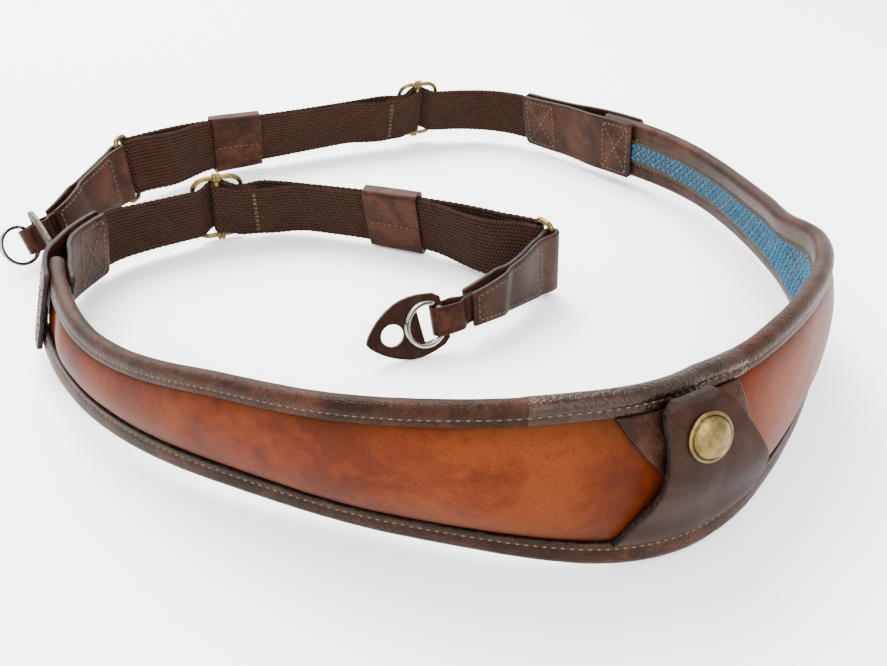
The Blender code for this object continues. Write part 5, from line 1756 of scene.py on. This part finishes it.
@dataclass
class StrandEnd:
    """Strap loop, end tab, ring strip, guard and split ring of one side."""

    layout: Layout
    side: Side
    sewing: Sewing
    pitch: float = 0.0021
    ring_turn: float = 2.2

    @property
    def route(self) -> Route:
        """The end's route."""
        return self.layout.ends[self.side]

    def loop(self) -> bpy.types.Object:
        """Upright wire loop between webbing and end tab."""
        radius = SIZE.loop_wire / 2
        rail = SIZE.web / 2 + SIZE.loop_spare + radius
        outline = thicken_path(rounded_box(SIZE.loop_spacing / 2, rail, SIZE.loop_corner, 8), 0.002)
        path = np.stack([outline[:, 0], 0 * outline[:, 0], outline[:, 1]], -1)
        rim = sweep("wire_loop_" + self.side.label, path, circle(radius, 16), (0, 1, 0), BRASS)
        return moved(rim, self.layout.loops[self.side])

    def level(self) -> Sequence[tuple[float, float]]:
        """Half distance between the end tab's two layers along it."""
        fold = SIZE.loop_wire / 2 + SIZE.fit + SIZE.end_leather / 2
        pinched = SIZE.end_leather / 2 + SIZE.fit / 2
        apart = pinched + SIZE.strip_leather + SIZE.fit
        inserted = SIZE.end_length - SIZE.strip_tuck
        return (0.0, fold), (0.008, pinched), (inserted - 0.006, pinched), (inserted - 0.001, apart)

    def half_width(self, s: np.ndarray) -> np.ndarray:
        """Half the end tab's width along it."""
        rows = ((0.002, SIZE.end_wide), (0.010, SIZE.end_wide * 0.96), (SIZE.end_length, SIZE.end_narrow))
        return np.interp(s, [r[0] for r in rows], [r[1] for r in rows]) / 2

    def folded(self, name: str, s: np.ndarray, level: np.ndarray, fold_s: float, fold: float, forward: bool,
               half: Callable[[np.ndarray], np.ndarray], thickness: float, finish: Finish) -> bpy.types.Object:
        """A strip folded in two.

        Args:
            name: the piece's name.
            s: distances along one layer, from the free end to the fold.
            level: half distance between the layers at s.
            fold_s: where the fold's centre lies.
            fold: the fold's radius.
            forward: whether the fold points along the route.
            half: gives half the strip's width at s.
            thickness: the leather's thickness.
            finish: its finish.

        Returns:
            The piece.
        """
        a = np.linspace(math.pi / 2, -math.pi / 2, 13)[1:-1]
        turn = fold_s + fold * np.cos(a) * (1 if forward else -1)
        path_s = np.concatenate([s, turn, s[::-1]])
        path_n = np.concatenate([level, fold * np.sin(a), -level[::-1]])
        middle = self.layout.end_middle()
        t = np.linspace(-1, 1, 15)[None]
        wide = half(path_s)[:, None]
        v = middle + wide * t
        points = self.route.place(path_s[:, None] + 0 * v, path_n[:, None] + 0 * v, v)
        lengths = run_along(np.stack([path_s, path_n], -1))
        uv = np.stack(np.broadcast_arrays(lengths[:, None], v), -1)
        return hide_sheet(name, points, uv, thickness, finish)

    def end_tab(self) -> bpy.types.Object:
        """Tapering leather strip folded round the strap loop, stitched all round."""
        table = self.level()
        s = steps(SIZE.end_length, 0.0, 0.0012)
        piece = self.folded("leather_end_" + self.side.label, s, ease(table, s), 0.0, table[0][1], False,
                            self.half_width, SIZE.end_leather, STRAP)
        middle = self.layout.end_middle()
        inset, start, stop = 0.0019, 0.0085, SIZE.end_length - 0.0020
        for sign in (1.0, -1.0):
            along = np.linspace(start, stop, 80)
            reach = self.half_width(along) - inset
            rounds = [(along, middle + reach), (along, middle - reach)]
            for edge in (start, stop):
                r = float(self.half_width(np.array([edge]))[0]) - inset
                rounds.append((np.full(40, edge), np.linspace(middle - r, middle + r, 40)))
            for a, v in rounds:
                n = sign * (ease(table, a) + SIZE.end_leather / 2)
                self.sewing.on_face(self.route.place, a, n, v, sign, self.pitch)
        return piece

    def fold_at(self) -> float:
        """Place of the ring strip's fold centre."""
        return SIZE.end_length + SIZE.strip_reach

    def strip(self) -> bpy.types.Object:
        """Narrow leather strip folded round the ring and the guard's bar."""
        tucked = SIZE.strip_leather / 2 + SIZE.fit / 2
        fold = SIZE.strip_gap + SIZE.strip_leather / 2
        table = ((SIZE.end_length + 0.0010, tucked), (SIZE.end_length + 0.0048, fold))
        s = steps(SIZE.end_length - SIZE.strip_tuck + 0.0015, self.fold_at(), 0.0006)
        return self.folded("ring_strap_" + self.side.label, s, ease(table, s), self.fold_at(), fold, True,
                           lambda a: np.full(a.shape, SIZE.strip_width / 2), SIZE.strip_leather, STRAP)

    def guard_half(self) -> np.ndarray:
        """Half outline of a guard from its end to its tip, as (x, half width)."""
        square, widest = 0.05, 0.38
        share = np.concatenate([[0.0, square], np.linspace(square, 1.0, 40)[1:]])
        round_part = np.cos(math.pi / 2 * np.maximum(0.0, (share - widest) / (1.0 - widest))) ** 0.72
        growth = np.sin(math.pi / 2 * np.minimum(1.0, share / widest))
        widening = SIZE.guard_end + (SIZE.guard_width - SIZE.guard_end) * growth
        half = widening / 2 * np.clip(round_part, 0, 1)
        half[:2] = SIZE.guard_end / 2 * np.array([0.86, 1.0])
        return np.stack([SIZE.guard_length * share, half], -1)

    def guard(self) -> bpy.types.Object:
        """Leaf-shaped leather guard with a slot and a round hole."""
        half = self.guard_half()[:-1]
        outline = np.concatenate([half, [[SIZE.guard_length, 0.0]], half[::-1] * (1, -1)])
        hole = circle(SIZE.guard_hole / 2, 48) + (SIZE.guard_hole_at, 0.0)
        slot = rounded_box(SIZE.guard_slot / 2, SIZE.guard_slot_height / 2, 0.0008, 4)
        slot = slot + (SIZE.guard_bar + SIZE.guard_slot / 2, 0.0)
        curve = bpy.data.curves.new("guard", "CURVE")
        curve.dimensions = "2D"
        curve.fill_mode = "BOTH"
        edge = 0.0004
        curve.extrude = SIZE.guard_leather / 2 - edge
        curve.bevel_depth = edge
        curve.bevel_resolution = 2
        curve.offset = -edge
        for ring in (outline, hole, slot):
            line = curve.splines.new("POLY")
            line.points.add(len(ring) - 1)
            for point, (x, z) in zip(line.points, ring):
                point.co = (x - SIZE.guard_bar / 2, z, 0.0, 1.0)
            line.use_cyclic_u = True
        flat = bpy.data.objects.new("leaf_guard_" + self.side.label, curve)
        bpy.context.scene.collection.objects.link(flat)
        leaf = face_out(settle(flat))
        leaf.data.materials.clear()
        for finish in (SMOOTH, PALE_EDGE):
            leaf.data.materials.append(finish.material())
        for face in leaf.data.polygons:
            face.material_index = int(abs(face.normal.z) < 0.3)
        leaf.data.set_sharp_from_angle(angle=math.radians(35))
        seat, level, angle, dip = GUARD_PLACE[self.side]
        at = self.route.matrix(self.fold_at() + seat, level, self.layout.end_middle())
        turn = Matrix.Rotation(math.radians(angle), 4, "Z") @ Matrix.Rotation(math.radians(dip), 4, "Y")
        return moved(leaf, at @ turn @ Matrix.Rotation(math.pi / 2, 4, "X"))

    def ring(self) -> bpy.types.Object:
        """Split ring: two flat turns with a step between their cut ends."""
        outer = SIZE.ring / 2
        middle = outer - SIZE.ring_wide / 2
        deep = SIZE.ring_deep / 2
        cut = 0.045
        turns = np.linspace(cut, 2.0 - cut, 210)
        rise = ease(((1.0 - cut, -deep / 2), (1.0 + cut, deep / 2)), turns)
        a = 2 * math.pi * turns + self.ring_turn
        path = np.stack([middle * np.cos(a), middle * np.sin(a), rise], -1)
        section = rounded_box(SIZE.ring_wide / 2, deep / 2 - 0.00003, 0.00022, 3)
        ring = sweep("split_ring_coiled_" + self.side.label, path, section, (0, 0, 1), NICKEL, closed=False)
        ring.data.set_sharp_from_angle(angle=math.radians(50))
        centre = SIZE.ring_seat + middle
        at = self.route.matrix(self.fold_at(), RING_LEVEL[self.side], self.layout.end_middle())
        place = at @ Matrix.Translation((centre, 0.0, 0.0)) @ Matrix.Rotation(math.pi / 2, 4, "X")
        return moved(ring, place)

    def build(self) -> None:
        """Builds and places every piece of the end."""
        end = self.side.label
        put(self.loop(), "antique_brass", "strap_loop_" + end)
        put(self.end_tab(), "trim_leather", "end_tab_" + end)
        put(self.strip(), "trim_leather", "ring_strip_" + end)
        put(self.guard(), "flap_leather", "guard_" + end)
        put(self.ring(), "nickel", "split_ring_" + end)


@dataclass
class Studio:
    """Pale floor, soft lights and the camera."""

    layout: Layout
    height: float = 0.164
    pitch: float = 33.0
    focal: float = 850.0
    frame_width: float = 887.0
    floor_half: float = 6.0
    sky: float = 2.6

    def floor(self) -> None:
        """Plain pale floor."""
        half = self.floor_half
        corners = np.array([(-half, -half, 0), (half, -half, 0), (half, half, 0), (-half, half, 0)])
        new_mesh("studio_floor", corners, [(0, 1, 2, 3)], None, (FLOOR,))

    def light(self, name: str, spot: Sequence[float], size: float, power: float, colour: Colour) -> None:
        """Square soft light aimed at the strap's middle.

        Args:
            name: the lamp's name.
            spot: its place.
            size: its side.
            power: its power in watts.
            colour: its colour.
        """
        lamp = bpy.data.lights.new(name, "AREA")
        lamp.shape = "SQUARE"
        lamp.size = size
        lamp.energy = power
        lamp.color = colour
        obj = bpy.data.objects.new(name, lamp)
        obj.location = spot
        aim = Vector((0.02, 0.0, 0.02)) - Vector(spot)
        obj.rotation_euler = aim.to_track_quat("-Z", "Y").to_euler()
        bpy.context.scene.collection.objects.link(obj)

    def camera(self) -> None:
        """Camera at the photograph's angle."""
        data = bpy.data.cameras.new("view")
        data.sensor_width = 36.0
        data.lens = self.focal / self.frame_width * data.sensor_width
        data.clip_start, data.clip_end = 0.01, 20.0
        obj = bpy.data.objects.new("view", data)
        obj.location = Vector(self.layout.shift) + Vector((0.0, 0.0, self.height))
        obj.rotation_euler = (math.radians(90.0 - self.pitch), 0.0, 0.0)
        bpy.context.scene.collection.objects.link(obj)
        bpy.context.scene.camera = obj

    def build(self) -> None:
        """Sets up floor, lights, world and camera."""
        self.floor()
        self.light("soft_key", (-0.35, 0.55, 1.00), 0.9, 58.0, (1.0, 0.98, 0.96))
        self.light("soft_fill", (0.25, -0.95, 0.75), 1.1, 28.0, (0.97, 0.98, 1.0))
        world = bpy.data.worlds.new("studio")
        world.use_nodes = True
        NodePen.fix(world.node_tree.nodes["Background"], {"Color": (1.0, 1.0, 1.0, 1.0), "Strength": self.sky})
        bpy.context.scene.world = world
        self.camera()


def main() -> None:
    """Builds the strap's looks in order."""
    logging.basicConfig(level=logging.INFO, format="%(name)s: %(message)s")
    layout = Layout()
    Studio(layout).build()
    NeckPad(layout).build()
    CentreFlap(layout).build()
    for side in Side:
        strand = Strand(layout, side)
        strand.build()
        StrandEnd(layout, side, strand.sewing).build()
        put(strand.sewing.threads("strand_stitches_" + side.label, KHAKI, 0.0005, 0.0004, 0.00006), "trim_leather")
        put(strand.sewing.holes("strand_needle_holes_" + side.label, 0.0006), "trim_leather")


if __name__ == "__main__":
    main()
